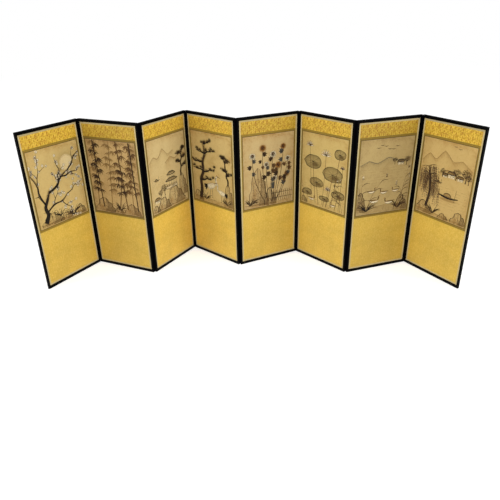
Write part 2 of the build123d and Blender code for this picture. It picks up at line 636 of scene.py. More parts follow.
@dataclass(frozen=True)
class PicturePaper(Finish):
    """Aged painting paper, browner at its edges, under the washes of its painting."""

    WASH = "wash"
    title = "picture_paper"
    constants = {"Roughness": 0.8, "Specular_IOR_Level": 0.2}
    colour: Colour = srgb(208, 180, 114)
    foxing: Colour = srgb(160, 114, 48)
    age: float = 0.5
    browned: float = 22.0

    def paint(self, tree: PanelTree) -> None:
        """Paints the paper's age, multiplied by the sheet's wash attribute.

        Args:
            tree: The material's tree.
        """
        flecks = tree.ramp(tree.noise(0.9, 4, 0.7), 0.62, 0.8)
        mottle = tree.ramp(tree.noise(0.2, 4, 0.7), 0.45, 0.7)
        stains = tree.ramp(tree.noise(0.022, 4), 0.45, 0.75)
        fibres = tree.ramp(tree.noise(0.9, at=tree.stretched(2.0, 1, 0.2)), 0.55, 0.75)
        edge = tree.ramp(tree.outside("picture"), -self.browned, 0, 0.0, 0.6)
        uneven = tree.ramp(tree.noise(0.05), 0.35, 0.6, 0.2, 1.0)
        aged = stains * 0.55 + flecks * 0.45 + mottle * 0.35 + fibres * 0.2 + edge * uneven
        colour = tree.mix(aged * self.age, self.colour, self.foxing)
        wash = tree.add("Attribute", {}, attribute_name=self.WASH, attribute_type="GEOMETRY")
        tree.surface("Base Color", tree.mix(1.0, colour, wash, "MULTIPLY"))
        tree.bump(tree.noise(1.5, 4), 0.02, 0.6)


@dataclass(frozen=True)
class HingeCloth(Finish):
    """Blue-black cotton twill, worn a little along its fold."""

    title = "hinge_cloth"
    constants = {"Roughness": 0.95, "Specular_IOR_Level": 0.02}
    colour: Colour = srgb(3, 3, 4)
    worn: Colour = srgb(14, 14, 17)
    rib: float = 0.8

    def paint(self, tree: PanelTree) -> None:
        """Paints the ribs of the twill and its fuzz.

        Args:
            tree: The material's tree.
        """
        twill = tree.math("SINE", (tree.x + tree.y + tree.z) * (math.tau / self.rib))
        fuzz = tree.noise(1.4, 4)
        factor = tree.ramp(twill, -1, 1) * tree.ramp(fuzz, 0.3, 0.75)
        tree.surface("Base Color", tree.mix(factor, self.colour, self.worn))
        tree.bump(twill + fuzz, 0.05, 0.6)


@dataclass(frozen=True)
class Softwood(Finish):
    """Pale softwood of the lattice, with its grain up the battens."""

    title = "softwood"
    constants = {"Roughness": 0.65, "Specular_IOR_Level": 0.3}
    early: Colour = srgb(214, 180, 130)
    late: Colour = srgb(164, 118, 68)

    def paint(self, tree: PanelTree) -> None:
        """Paints wavy year rings.

        Args:
            tree: The material's tree.
        """
        wavy = tree.noise(0.25, at=tree.stretched(1, 1, 0.05))
        rings = tree.math("SINE", tree.x * 1.6 + wavy * 14)
        tree.surface("Base Color", tree.mix(tree.ramp(rings, -0.4, 1), self.early, self.late))
        tree.bump(rings, 0.03, 0.5)


class Tone(Enum):
    """Inks and colours on the brush, from the first layer to the last."""

    WHITE = ("shell_white", srgb(228, 214, 176))
    OCHRE = ("ochre", srgb(168, 112, 48))
    PALE = ("pale_ink", srgb(136, 105, 60))
    RUST = ("rust", srgb(146, 66, 38))
    SLATE = ("slate", srgb(78, 76, 68))
    MID = ("middle_ink", srgb(96, 68, 38))
    DARK = ("dark_ink", srgb(56, 39, 23))
    BLACK = ("black_ink", srgb(20, 14, 11))

    def __init__(self, title: str, colour: Colour) -> None:
        """Keeps the tone's name and its linear colour."""
        self.title = title
        self.colour = colour


WHITE, OCHRE, PALE, RUST, SLATE, MID, DARK, BLACK = Tone


@dataclass(frozen=True)
class Ink(Finish):
    """One tone of brushed ink, thinner where the brush ran dry."""

    constants = {"Roughness": 0.75, "Specular_IOR_Level": 0.2}
    tone: Tone
    thinned: float = 0.3

    @property
    def title(self) -> str:
        """The tone's name."""
        return self.tone.title

    def paint(self, tree: PanelTree) -> None:
        """Paints the ink, and the paper that shows through where it is dry.

        Args:
            tree: The material's tree.
        """
        inked, bare = self.tone.colour, PicturePaper.colour
        lighter = tuple(c + self.thinned * (p - c) for c, p in zip(inked, bare))
        dry = tree.ramp(tree.noise(2.2, 4, 0.7), 0.5, 0.8, 0.0, 0.45)
        tree.surface("Base Color", tree.mix(dry, inked, lighter))
        tree.bump(tree.noise(2.0), 0.015, 0.5)


# ---- meshes


def finished(
    name: str, made: bmesh.types.BMesh, materials: Sequence[bpy.types.Material]
) -> bpy.types.Object:
    """Turns a bmesh into a piece with smooth faces and sharp edges.

    Args:
        name: The piece's name.
        made: The bmesh, in the row frame. It is freed.
        materials: Its materials, in the order of its face indices.

    Returns:
        The piece, linked to the scene.
    """
    mesh = bpy.data.meshes.new(name)
    made.to_mesh(mesh)
    made.free()
    for material in materials:
        mesh.materials.append(material)
    mesh.shade_smooth()
    mesh.set_sharp_from_angle(angle=SHARP_ANGLE)
    piece = bpy.data.objects.new(name, mesh)
    bpy.context.scene.collection.objects.link(piece)
    return piece


def thin_sheet(
    low: Vector, high: Vector, cell: float, lift: Callable[[float, float], float]
) -> bmesh.types.BMesh:
    """A closed thin sheet in the panel's frame, with a fine grid on one face.

    Args:
        low: A corner on the face with the grid.
        high: The opposite corner, on the flat face.
        cell: Size of a cell of the grid.
        lift: Distance of the grid's points out of its face, from the shares across and up.

    Returns:
        The sheet.
    """
    width, height = high.x - low.x, high.z - low.z
    made = bmesh.new()
    columns, rows = max(1, round(width / cell)), max(1, round(height / cell))
    bmesh.ops.create_grid(made, x_segments=columns, y_segments=rows, size=0.5)
    to_size = Matrix.Diagonal((width, 1, height, 1))
    middle = Matrix.Translation((low.x + width / 2, low.y, low.z + height / 2))
    bmesh.ops.transform(made, matrix=middle @ to_size @ UPRIGHT, verts=made.verts)
    outwards = math.copysign(1, low.y - high.y)
    for vert in made.verts:
        vert.co.y += outwards * lift((vert.co.x - low.x) / width, (vert.co.z - low.z) / height)
    rim = [edge for edge in made.edges if edge.is_boundary]
    grown = bmesh.ops.extrude_edge_only(made, edges=rim)["geom"]
    back = {item for item in grown if isinstance(item, bmesh.types.BMVert)}
    for vert in back:
        vert.co.y = high.y
    loop = [e for e in grown if isinstance(e, bmesh.types.BMEdge) and back.issuperset(e.verts)]
    bmesh.ops.edgeloop_fill(made, edges=loop)
    bmesh.ops.recalc_face_normals(made, faces=made.faces)
    return made


def on_panel(
    place: PanelPlace, kind: str, made: bmesh.types.BMesh,
    materials: Sequence[bpy.types.Material], within: Matrix = Matrix(),
) -> bpy.types.Object:
    """Makes a piece of one panel, which moves with it.

    Args:
        place: The panel.
        kind: The last part of the piece's name.
        made: The piece's bmesh. It is freed.
        materials: Its materials, in the order of its face indices.
        within: Takes the bmesh to the panel's frame.

    Returns:
        The piece.
    """
    bmesh.ops.transform(made, matrix=place.matrix() @ within, verts=made.verts)
    piece = finished(place.node(kind), made, materials)
    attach(piece, place.body())
    return piece


# ---- brush and wash


class Profile(Enum):
    """How a brush stroke's width runs along it, as shares of its full width."""

    TAPER = (1.0, 0.85, 0.6, 0.12)
    LEAF = (0.12, 1.0, 0.75, 0.05)
    EVEN = (0.8, 1.0, 0.95, 0.7)
    LINE = (0.5, 1.0, 0.8, 0.3)

    def at(self, share: float) -> float:
        """The width at a share of the stroke's length."""
        return float(np.interp(share, np.linspace(0, 1, len(self.value)), self.value))


TAPER, LEAF, EVEN, LINE = Profile


@dataclass
class Stroke:
    """One stroke of the brush: points in the picture, in millimetres, and its full width."""

    points: Line
    width: float
    profile: Profile
    angular: bool


@dataclass(frozen=True)
class Spot:
    """A place in the picture with a scale of its own, for what is drawn in units of its size."""

    x: float
    y: float
    size: float
    side: int = 1

    def at(self, across: float, up: float) -> Point:
        """The picture's point at a place in the spot's units."""
        return self.x + self.side * across * self.size, self.y + up * self.size

    def line(self, *places: Point) -> Line:
        """The picture's line through places in the spot's units."""
        return [self.at(*place) for place in places]


def onward(point: Point, angle: float, distance: float) -> Point:
    """The point at an angle and a distance from another."""
    return point[0] + distance * math.cos(angle), point[1] + distance * math.sin(angle)


def smooth(share: np.ndarray) -> np.ndarray:
    """Smooth step of shares, clipped to 0 and 1."""
    share = np.clip(share, 0, 1)
    return share * share * (3 - 2 * share)


@dataclass
class WashLayer:
    """Washes on the picture's paper, held as a colour at each point of its grid."""

    points: np.ndarray
    paper: Colour
    colours: np.ndarray = field(init=False)
    # Where a wash under a ridge ends: the width in which it fades, and the share that it keeps there
    end_width: float = 8
    end_share: float = 0.2

    def __post_init__(self) -> None:
        """Starts with bare paper."""
        self.colours = np.ones((len(self.points), 3))

    def lay(self, amount: np.ndarray, tone: Tone) -> None:
        """Lays a colour on the paper: white covers it, and every other tone stains it.

        Args:
            amount: How much of it each point takes, from 0 to 1.
            tone: The wash's colour.
        """
        amount = amount[:, None]
        if tone is WHITE:
            self.colours += amount * (np.array(tone.colour) / np.array(self.paper) - self.colours)
        else:
            self.colours *= 1 - amount * (1 - np.array(tone.colour) ** 0.5)

    def away(self, centre: Point, size: Point = (1, 1)) -> np.ndarray:
        """Distance of each point of the grid from a place, in units of a size."""
        return np.hypot(*((self.points - np.array(centre)) / np.array(size)).T)

    def distance(self, line: Line) -> np.ndarray:
        """Distance of each point of the grid from a line.

        Args:
            line: The line's points.

        Returns:
            The distances.
        """
        nearest = np.full(len(self.points), np.inf)
        for start, end in zip(line, line[1:]):
            run = np.subtract(end, start)
            share = np.clip((self.points - start) @ run / max(run @ run, 1e-9), 0, 1)
            nearest = np.minimum(nearest, np.hypot(*(self.points - start - share[:, None] * run).T))
        return nearest

    def inside(self, outline: Line) -> np.ndarray:
        """Whether each point of the grid lies in a closed outline.

        Args:
            outline: The outline's points.

        Returns:
            True for each point inside.
        """
        x, y = self.points.T
        within = np.zeros(len(self.points), bool)
        for (x0, y0), (x1, y1) in zip(outline, [*outline[1:], outline[0]]):
            if y0 != y1:
                crosses = (y0 > y) != (y1 > y)
                within ^= crosses & (x < (x1 - x0) * (y - y0) / (y1 - y0) + x0)
        return within

    def ellipse(self, centre: Point, size: Point, amount: float, tone: Tone, soft: float = 0.35) -> None:
        """A patch whose edge fades over a soft share of its half width and half height."""
        self.lay(amount * smooth((1 - self.away(centre, size)) / soft), tone)

    def trail(self, line: Line, reach: float, amount: float, tone: Tone) -> None:
        """A soft wash along a line, which has faded away at its reach."""
        self.lay(amount * smooth(1 - self.distance(line) / reach), tone)

    def fill(self, outline: Line, amount: float, tone: Tone, rim: float, shade: float = 0.5) -> None:
        """A wash inside a closed outline, which pools along its rim and towards its foot.

        Args:
            outline: The outline's points.
            amount: Strength of the wash.
            tone: Its colour.
            rim: Distance from the outline over which it thins.
            shade: Share of the wash that stays in the middle of its top.
        """
        pooled = np.exp(-self.distance([*outline, outline[0]]) / rim)
        low, high = min(y for _, y in outline), max(y for _, y in outline)
        foot = np.clip((high - self.points[:, 1]) / (high - low), 0, 1)
        level = shade + (1 - shade) * np.maximum(pooled, foot * foot)
        self.lay(np.where(self.inside(outline), amount * level, 0), tone)

    def below(self, ridge: Line, fade: float, amount: float, tone: Tone) -> None:
        """A wash that starts at a ridge line and fades downwards and towards its ends.

        Args:
            ridge: The line's points, from left to right.
            fade: Distance in which the wash falls to a third.
            amount: Strength of the wash at the ridge.
            tone: Its colour.
        """
        across, up = np.array(ridge).T
        drop = np.interp(self.points[:, 0], across, up) - self.points[:, 1]
        ends = np.minimum(self.points[:, 0] - across[0], across[-1] - self.points[:, 0])
        level = np.exp(-np.maximum(drop, 0) / fade) * smooth(ends / self.end_width + self.end_share)
        self.lay(np.where(drop > 0, amount * level, 0), tone)


class Brush:
    """The hand with its brush: strokes and washes on one sheet.

    Places and lengths are in millimetres from the sheet's corner, angles in radians.
    """

    paper = PicturePaper()
    # Runs of a ribbon between two points, and how far the pressed brush spreads past its width
    stroke_steps = 3
    pressure = 1.25
    # Height of each tone over the one before, and the sheet's rim that stays bare, in millimetres
    layer_step = 0.012
    margin = 1.0

    def __init__(self, width: float, height: float, wash: WashLayer, seed: int) -> None:
        """Starts an empty painting.

        Args:
            width: Width of the picture, in millimetres.
            height: Height of the picture, in millimetres.
            wash: The washes on its paper.
            seed: Seed of the hand's small irregularities.
        """
        self.width = width
        self.height = height
        self.wash = wash
        self.rng = random.Random(seed)
        self.strokes: dict[Tone, list[Stroke]] = {tone: [] for tone in Tone}

    def near(self, value: float, spread: float) -> float:
        """A value with the hand's irregularity."""
        return value + self.rng.uniform(-spread, spread)

    def about(self, point: Point, across: float, up: float) -> Point:
        """A point with the hand's irregularity across and up."""
        return self.near(point[0], across), self.near(point[1], up)

    def stroke(
        self, points: Iterable[Point], width: float, tone: Tone,
        profile: Profile = TAPER, angular: bool = False,
    ) -> None:
        """Lays one stroke, cut where it leaves the sheet.

        Args:
            points: The points that it follows.
            width: Its full width.
            tone: Its ink.
            profile: How its width runs.
            angular: Whether it turns sharply at its points.
        """
        kept = self.on_sheet(points)
        if len(kept) > 1:
            self.strokes[tone].append(Stroke(kept, width * self.pressure, profile, angular))

    def on_sheet(self, points: Iterable[Point]) -> Line:
        """Cuts a line at the sheet's margin.

        Args:
            points: The line's points.

        Returns:
            The first part of the line that lies on the sheet.
        """
        low = np.full(2, self.margin)
        high = np.array((self.width, self.height)) - self.margin
        kept: Line = []
        for point in points:
            if np.all(low <= point) and np.all(point <= high):
                kept.append(point)
            elif kept:
                run = np.subtract(point, kept[-1])
                limits = np.where(run > 0, high, low)
                shares = [(limit - at) / step for limit, at, step in zip(limits, kept[-1], run) if step]
                kept.append(tuple(kept[-1] + min(shares) * run))
                break
        return kept

    def arc(self, start: Point, angle: float, length: float, bend: float, steps: int = 3) -> Line:
        """A line that turns evenly.

        Args:
            start: Its first point.
            angle: Its direction there.
            length: Its length.
            bend: How far it turns in all.
            steps: Number of its runs.

        Returns:
            Its points.
        """
        line = [start]
        for step in range(steps):
            turned = angle + bend * (step + 0.5) / steps
            line.append(onward(line[-1], turned, length / steps))
        return line

    def crooked(self, start: Point, angle: float, length: float, steps: int, swing: float) -> Line:
        """A gnarled line that swings from side to side.

        Args:
            start: Its first point.
            angle: The direction that it swings about.
            length: Its length.
            steps: Number of its runs.
            swing: How far it swings.

        Returns:
            Its points.
        """
        line, side = [start], self.rng.choice((-1, 1))
        for _ in range(steps):
            line.append(onward(line[-1], angle + side * self.near(swing, swing * 0.5), length / steps))
            side = -side
        return line

    def broken(self, outline: Line, roughness: float) -> Line:
        """Adds a rough point between each two of an outline.

        Args:
            outline: The outline's points.
            roughness: How far the new points may lie off it.

        Returns:
            The points with the new ones between them.
        """
        line = [outline[0]]
        for (x0, y0), (x1, y1) in zip(outline, outline[1:]):
            line += [self.about(((x0 + x1) / 2, (y0 + y1) / 2), roughness, roughness), (x1, y1)]
        return line

    def leaf(
        self, start: Point, angle: float, length: float, width: float, tone: Tone, bend: float = 0.25
    ) -> None:
        """A pressed stroke with a point at each end."""
        self.stroke(self.arc(start, angle, length, self.near(0, bend)), width, tone, LEAF)

    def dot(self, centre: Point, size: float, tone: Tone) -> None:
        """A short press of the brush.

        Args:
            centre: Its middle.
            size: Its width.
            tone: The ink.
        """
        x, y = centre
        end = (x + size * 0.6, self.near(y, size * 0.2))
        self.stroke([(x - size * 0.6, y), centre, end], size, tone, EVEN)

    def outline(
        self, centre: Point, size: Point, width: float, tone: Tone,
        start: float = 0, sweep: float = math.tau,
    ) -> None:
        """A drawn ellipse or a part of one.

        Args:
            centre: Its middle.
            size: Its half width and half height.
            width: The stroke's width.
            tone: The ink.
            start: Angle at which it starts.
            sweep: Angle that it covers.
        """
        steps = max(4, round(8 * sweep / math.tau))
        angles = [start + sweep * step / steps for step in range(steps + 1)]
        line = [(centre[0] + size[0] * math.cos(a), centre[1] + size[1] * math.sin(a)) for a in angles]
        self.stroke(line, width, tone, LINE)

    def ribbons(self, tone: Tone) -> bpy.types.Mesh:
        """The strokes of one tone as flat ribbons.

        Args:
            tone: The tone.

        Returns:
            The ribbons' mesh in the XY plane, in millimetres.
        """
        curve = bpy.data.curves.new("strokes", "CURVE")
        curve.dimensions = "3D"
        curve.extrude = 0.5
        curve.resolution_u = self.stroke_steps
        for stroke in self.strokes[tone]:
            spline = curve.splines.new("NURBS")
            last = len(stroke.points) - 1
            spline.points.add(last)
            for index, (point, place) in enumerate(zip(spline.points, stroke.points)):
                point.co = (*place, 0, 1)
                point.radius = stroke.width * stroke.profile.at(index / last)
                point.tilt = math.pi / 2
            spline.order_u = 2 if stroke.angular else min(3, len(stroke.points))
            spline.use_endpoint_u = True
        holder = bpy.data.objects.new("strokes", curve)
        bpy.context.scene.collection.objects.link(holder)
        depsgraph = bpy.context.evaluated_depsgraph_get()
        mesh = bpy.data.meshes.new_from_object(holder.evaluated_get(depsgraph))
        bpy.data.objects.remove(holder)
        bpy.data.curves.remove(curve)
        return mesh

    def ink(self) -> tuple[bmesh.types.BMesh, list[Tone]]:
        """Puts all strokes in one bmesh, each tone a little over the one before.

        Returns:
            The bmesh, in millimetres in the XY plane, and the tones of its face indices.
        """
        made = bmesh.new()
        used = [tone for tone in Tone if self.strokes[tone]]
        for index, tone in enumerate(used):
            mesh = self.ribbons(tone)
            mesh.transform(Matrix.Translation((0, 0, self.layer_step * (index + 1))))
            before = len(made.faces)
            made.from_mesh(mesh)
            made.faces.ensure_lookup_table()
            for face in made.faces[before:]:
                face.material_index = index
            bpy.data.meshes.remove(mesh)
        for face in made.faces:
            face.normal_update()
        bmesh.ops.reverse_faces(made, faces=[face for face in made.faces if face.normal.z < 0])
        return made, used


class Landscape(Brush):
    """Rocks, hills, water, ground and sky."""

    def rock(self, base: Point, width: float, height: float, tone: Tone = DARK) -> None:
        """A broken rock: a jagged outline, inner faces, slanting texture strokes and a pooled wash.

        Args:
            base: The middle of its foot.
            width: Its width.
            height: Its height.
            tone: The ink of its outline and its shaded side.
        """
        x, y = base
        shares = (
            (-0.5, 0), (-0.48, 0.3), (-0.34, 0.48), (-0.26, 0.8), (-0.06, 1.0), (0.1, 0.93),
            (0.2, 0.7), (0.36, 0.62), (0.42, 0.34), (0.52, 0.2), (0.54, 0),
        )
        edge = [(x + self.near(a, 0.03) * width, y + self.near(b, 0.04) * height) for a, b in shares]
        self.wash.fill(edge, 0.34, MID, width * 0.1)
        shaded = [edge[5], *edge[6:], (x + width * 0.02, y), (x + width * 0.14, y + height * 0.5)]
        self.wash.fill(shaded, 0.5, tone, width * 0.12, 0.7)
        lit = (x - width * 0.2, y + height * 0.3)
        self.wash.ellipse(lit, (width * 0.16, height * 0.25), 0.4, OCHRE, 0.8)
        line = self.broken(edge, min(width, height) * 0.035)
        for first in range(0, len(line) - 3, 3):
            self.stroke(line[first : first + 4], self.near(1.5, 0.5), tone, LINE, angular=True)
        for top, reach in ((3, -0.22), (4, -0.02), (5, 0.16), (7, 0.3)):
            foot = (x + reach * width, y + self.near(0.2, 0.1) * height)
            self.stroke(self.broken([edge[top], foot], width * 0.05), 1.0, tone, angular=True)
        for _ in range(round(width * height / 42)):
            share = self.rng.random()
            at = (self.near(x + width * 0.04, width * 0.4), y + (0.05 + 0.7 * share) * height)
            if abs(at[0] - x) < width * (0.48 - 0.32 * share):
                self.stroke(self.arc(at, self.near(-1.2, 0.3), self.near(5, 2), 0.2), 0.7, MID)

    def rocks(self, *sizes: tuple) -> None:
        """Several rocks, from the first behind to the last in front."""
        for size in sizes:
            self.rock(*size)

    def moss(self, centre: Point, spread: Point, count: int) -> None:
        """Scattered dark moss dots, thickest at their centre."""
        for _ in range(count):
            self.dot(tuple(map(self.rng.gauss, centre, spread)), self.near(1.3, 0.5), BLACK)

    def hills(self, ridge: Line, tone: Tone, amount: float, fade: float) -> None:
        """A range of hills with a washed slope and short folds down from its ridge.

        Args:
            ridge: The ridge's points, from left to right.
            tone: The ink.
            amount: Strength of the wash at the ridge.
            fade: Distance in which the wash falls to a third.
        """
        line = self.broken(ridge, 2.0)
        self.stroke(line, 1.1, tone, LINE)
        self.wash.below(line, fade, amount, tone)
        across, up = np.array(ridge).T
        for x in np.arange(across[0] + 3, across[-1], 4.5):
            top = (float(x), float(np.interp(x, across, up)))
            self.stroke(self.arc(top, self.near(-1.3, 0.35), self.near(8, 4), 0.3), 0.5, tone)

    def ripples(self, left: float, right: float, y: float, rows: int, gap: float = 5) -> None:
        """Rows of broken ripple lines.

        Args:
            left: Where they start.
            right: Where they end.
            y: Height of the lowest row.
            rows: Number of rows.
            gap: Distance between rows.
        """
        for row in range(rows):
            x = left + self.near(4, 4)
            while x < right:
                run = self.near(16, 8)
                level = y + row * gap + self.near(0, 0.6)
                crest = (x + run / 2, level + self.near(0.8, 0.5))
                self.stroke([(x, level), crest, (x + run, level)], 0.5, PALE, LINE)
                x += run + self.near(10, 7)

    def ground(self, y: float, amount: float = 0.35) -> None:
        """A bank across the foot of the picture.

        Args:
            y: Height of its edge.
            amount: Strength of the wash under it.
        """
        line = [(x, self.near(y, 2.5)) for x in np.linspace(2, self.width - 2, 8)]
        self.stroke(line[:5], 1.1, MID, LINE)
        self.stroke(line[5:], 0.8, PALE, LINE)
        self.wash.below(line, 14, amount, PALE)
        for _ in range(26):
            at = (self.rng.uniform(4, self.width - 4), self.rng.uniform(3, y))
            self.stroke(self.arc(at, self.near(1.5, 0.5), self.near(4, 2), 0.3), 0.6, MID)

    def moon(self, centre: Point, radius: float) -> None:
        """A full moon, left pale in a ring of wash.

        Args:
            centre: Its middle.
            radius: Its radius.
        """
        away = self.wash.away(centre) - radius
        halo = np.where(away > 0, np.exp(-np.maximum(away, 0) / (radius * 0.8)), 0)
        self.wash.lay(0.42 * halo, SLATE)
        self.wash.lay(np.where(away < 0, 0.35, 0), WHITE)
        self.outline(centre, (radius, radius), 0.5, PALE)


class Plants(Landscape):
    """Trees, bamboo, flowers and grasses."""

    def bark(self, trunk: Line, width: float, count: int) -> None:
        """Washes a trunk and draws scales and a rough contour on it.

        Args:
            trunk: The trunk's points.
            width: Its width.
            count: Number of scales.
        """
        self.wash.trail(trunk, width * 0.9, 0.6, DARK)
        for shift, tone in ((-0.42, BLACK), (0.4, DARK)):
            contour = [(x + shift * width, y) for x, y in trunk]
            self.stroke(self.broken(contour, width * 0.1), 1.1, tone, LINE)
        for _ in range(count):
            at = self.about(self.rng.choice(trunk[:-1]), width * 0.3, width * 1.2)
            self.outline(at, (width * 0.16, width * 0.12), 0.6, BLACK, 0.4, 4.6)

    def bough(
        self, start: Point, angle: float, length: float, width: float, forks: int, tips: Line
    ) -> None:
        """A crooked bough that forks, and reports where its twigs end.

        Args:
            start: Where it grows from.
            angle: Its direction.
            length: Its length.
            width: Its width at the start.
            forks: How many times it still forks.
            tips: Takes the places where blossoms may sit.
        """
        line = self.crooked(start, angle, length, 3, 0.34)
        self.stroke(line, width, BLACK if width > 1.8 else DARK)
        tips.extend(line[1:])
        if width > 3:
            self.bark(line, width, 6)
        if forks:
            for spot, side in ((line[1], 1), (line[2], -1), (line[3], 0.3)):
                way = angle + side * self.near(0.75, 0.25)
                self.bough(spot, way, length * self.near(0.62, 0.1), width * 0.55, forks - 1, tips)

    def blossom(self, centre: Point, size: float) -> None:
        """A five-petalled white blossom with stamens.

        Args:
            centre: Its middle.
            size: Its radius.
        """
        turn = self.rng.uniform(0, math.tau)
        for petal in range(5):
            angle = turn + petal * math.tau / 5
            self.leaf(onward(centre, angle, size * 0.1), angle, size * 1.05, size * 0.8, WHITE, 0)
            middle = onward(centre, angle, size * 0.62)
            self.outline(middle, (size * 0.45, size * 0.45), 0.5, DARK, angle - 2.2, 4.4)
            self.stroke([centre, onward(centre, angle + 0.6, size * 0.7)], 0.4, RUST)
        self.dot(centre, 1.1, BLACK)

    def needles(self, centre: Point, angle: float, radius: float) -> None:
        """A fan of pine needles over a dark wash.

        Args:
            centre: Where the needles meet.
            angle: The fan's direction.
            radius: Length of a needle.
        """
        last = 12
        for step in range(last + 1):
            way = angle + math.pi * 1.1 * (step / last - 0.5)
            self.stroke([centre, onward(centre, way, radius * self.near(0.9, 0.15))], 0.6, DARK)
        self.wash.ellipse(onward(centre, angle, radius * 0.35), (radius, radius * 0.75), 0.4, SLATE, 0.6)

    def pine(self, base: Point, lean: float, height: float, width: float, boughs: int) -> None:
        """A gnarled pine: scaled trunk, drooping boughs and pads of needle fans.

        Args:
            base: Its foot.
            lean: Its lean to the right.
            height: Its height.
            width: Its trunk's width.
            boughs: How many boughs it has.
        """
        steps = 6
        trunk = self.crooked(base, UP - lean, height, steps, 0.3)
        self.stroke(trunk, width, DARK)
        self.bark(trunk, width, round(height / 3))
        for index in range(boughs):
            level = 2 + round(index * (steps - 2) / max(boughs - 1, 1))
            side = -1 if index % 2 else 1
            reach = height * self.near(0.42 - 0.05 * level, 0.06)
            limb = self.crooked(trunk[level], UP - side * self.near(1.4, 0.2), reach, 4, 0.35)
            self.stroke(limb, width * 0.38, BLACK)
            for spot in limb[1:]:
                for _ in range(3):
                    at = (self.near(spot[0], 6), spot[1] + self.near(2.5, 2.5))
                    self.needles(at, UP + self.near(0, 0.35), self.near(7, 1.5))
        for _ in range(5):
            self.needles(self.about(trunk[-1], 9, 3), UP, self.near(8, 1))

    def leafy(self, base: Point, height: float, spread: float) -> None:
        """A small round tree of dabbed leaves on a forked trunk.

        Args:
            base: Its foot.
            height: Its height.
            spread: Half the width of its crown.
        """
        trunk = self.crooked(base, UP, height * 0.6, 3, 0.25)
        self.stroke(trunk, height * 0.07, DARK)
        for side in (-1, -0.4, 0.4, 1):
            fork = self.crooked(trunk[2], UP - side, height * 0.4, 2, 0.2)
            self.stroke(fork, height * 0.03, DARK)
        x, y = trunk[-1][0], trunk[-1][1] + height * 0.12
        self.wash.ellipse((x, y), (spread, height * 0.3), 0.55, SLATE, 0.5)
        for _ in range(round(spread * height / 6)):
            way, reach = self.rng.uniform(0, math.tau), math.sqrt(self.rng.random())
            at = (x + spread * reach * math.cos(way), y + height * 0.3 * reach * math.sin(way))
            self.dot(at, self.near(1.4, 0.4), self.rng.choice((BLACK, DARK, MID)))

    def bamboo(self, base: Point, height: float, width: float, tone: Tone, lean: float) -> Line:
        """A jointed culm.

        Args:
            base: Its foot.
            height: Its height.
            width: Its width.
            tone: Its ink.
            lean: Its lean to the right.

        Returns:
            Its joints, where leaves grow.
        """
        joints, way = [base], UP - lean
        while joints[-1][1] < base[1] + height:
            at, run = joints[-1], self.near(19, 3)
            end = onward(at, way, run)
            self.stroke([onward(at, way, 0.8), onward(at, way, run / 2), end], width, tone, EVEN)
            knot = end[1] + 0.4
            self.stroke([(end[0] - width * 0.7, knot), (end[0] + width * 0.7, knot)], 0.9, BLACK)
            joints.append(end)
        return joints

    def spray(self, centre: Point, count: int, length: float, tone: Tone) -> None:
        """A spray of pointed leaves that hang from one spot.

        Args:
            centre: The spot.
            count: Number of leaves.
            length: Their length.
            tone: Their ink.
        """
        for step in range(count):
            angle = 1.9 * (step / (count - 1) - 0.5) - UP + self.near(0, 0.15)
            self.leaf(centre, angle, self.near(length, length * 0.25), self.near(2.6, 0.5), tone)

    def grass(self, base: Point, count: int, length: float, tone: Tone) -> None:
        """A clump of long bending blades.

        Args:
            base: The clump's foot.
            count: Number of blades.
            length: Their length.
            tone: Their ink.
        """
        for _ in range(count):
            side = self.rng.choice((-1, 1))
            angle = UP + side * self.near(0.45, 0.35)
            start = (self.near(base[0], 2.5), base[1])
            line = self.arc(start, angle, self.near(length, length * 0.3), side * self.near(0.9, 0.4), 4)
            self.stroke(line, 1.7, tone, LEAF)

    def lobed(self, start: Point, angle: float, size: float, tone: Tone) -> None:
        """A lobed leaf of five pressed strokes."""
        for lobe, reach in ((-1.0, 0.6), (-0.5, 0.85), (0, 1), (0.5, 0.85), (1.0, 0.6)):
            self.leaf(onward(start, angle, size * 0.15), angle + lobe, size * reach, size * 0.34, tone, 0.15)

    def daisy(self, centre: Point, radius: float, tone: Tone) -> None:
        """A chrysanthemum head: a dome of narrow petals, longer below, each with a drawn edge.

        Args:
            centre: Its middle.
            radius: Its radius.
            tone: Its petals' colour.
        """
        self.wash.ellipse(centre, (radius * 1.1, radius), 0.45, MID, 0.6)
        heart = (centre[0], centre[1] + radius * 0.16)
        for ring, (reach, count) in enumerate(((1.0, 19), (0.72, 14), (0.42, 9))):
            for petal in range(count):
                angle = math.tau * (petal + ring / 2) / count
                length = radius * reach * (0.82 - 0.3 * math.sin(angle)) * self.near(1.0, 0.08)
                line = self.arc(onward(heart, angle, radius * 0.08), angle, length, -0.5 * math.cos(angle))
                self.stroke(line, radius * 0.17, tone, LEAF)
                self.stroke([(x, y - radius * 0.05) for x, y in line], 0.45, DARK, LINE)
        self.dot(heart, radius * 0.12, RUST)

    def lotus_leaf(self, centre: Point, size: Point, foot: Point) -> None:
        """A round leaf on its stalk, with veins and a wavy rim.

        Args:
            centre: Its middle.
            size: Its half width and half height.
            foot: The stalk's foot.
        """
        (x, y), (width, height) = centre, size
        self.stroke([foot, (foot[0] * 0.4 + x * 0.6, (foot[1] + y) / 2), centre], 1.5, MID, EVEN)
        rim = []
        for step in range(17):
            angle, wave = math.tau * step / 16, self.near(1.0, 0.08)
            rim.append((x + width * wave * math.cos(angle), y + height * wave * math.sin(angle)))
        rim[-1] = rim[0]
        self.wash.fill(rim[:-1], 0.85, SLATE, width * 0.3, 0.45)
        shaded = (x + width * 0.25, y - height * 0.35)
        self.wash.ellipse(shaded, (width * 0.6, height * 0.5), 0.7, DARK, 0.7)
        for vein in range(0, 16, 2):
            self.stroke([centre, rim[vein]], 0.8, BLACK)
        for quarter in range(0, 16, 4):
            self.stroke(rim[quarter : quarter + 5], self.near(1.5, 0.4), BLACK, LINE)

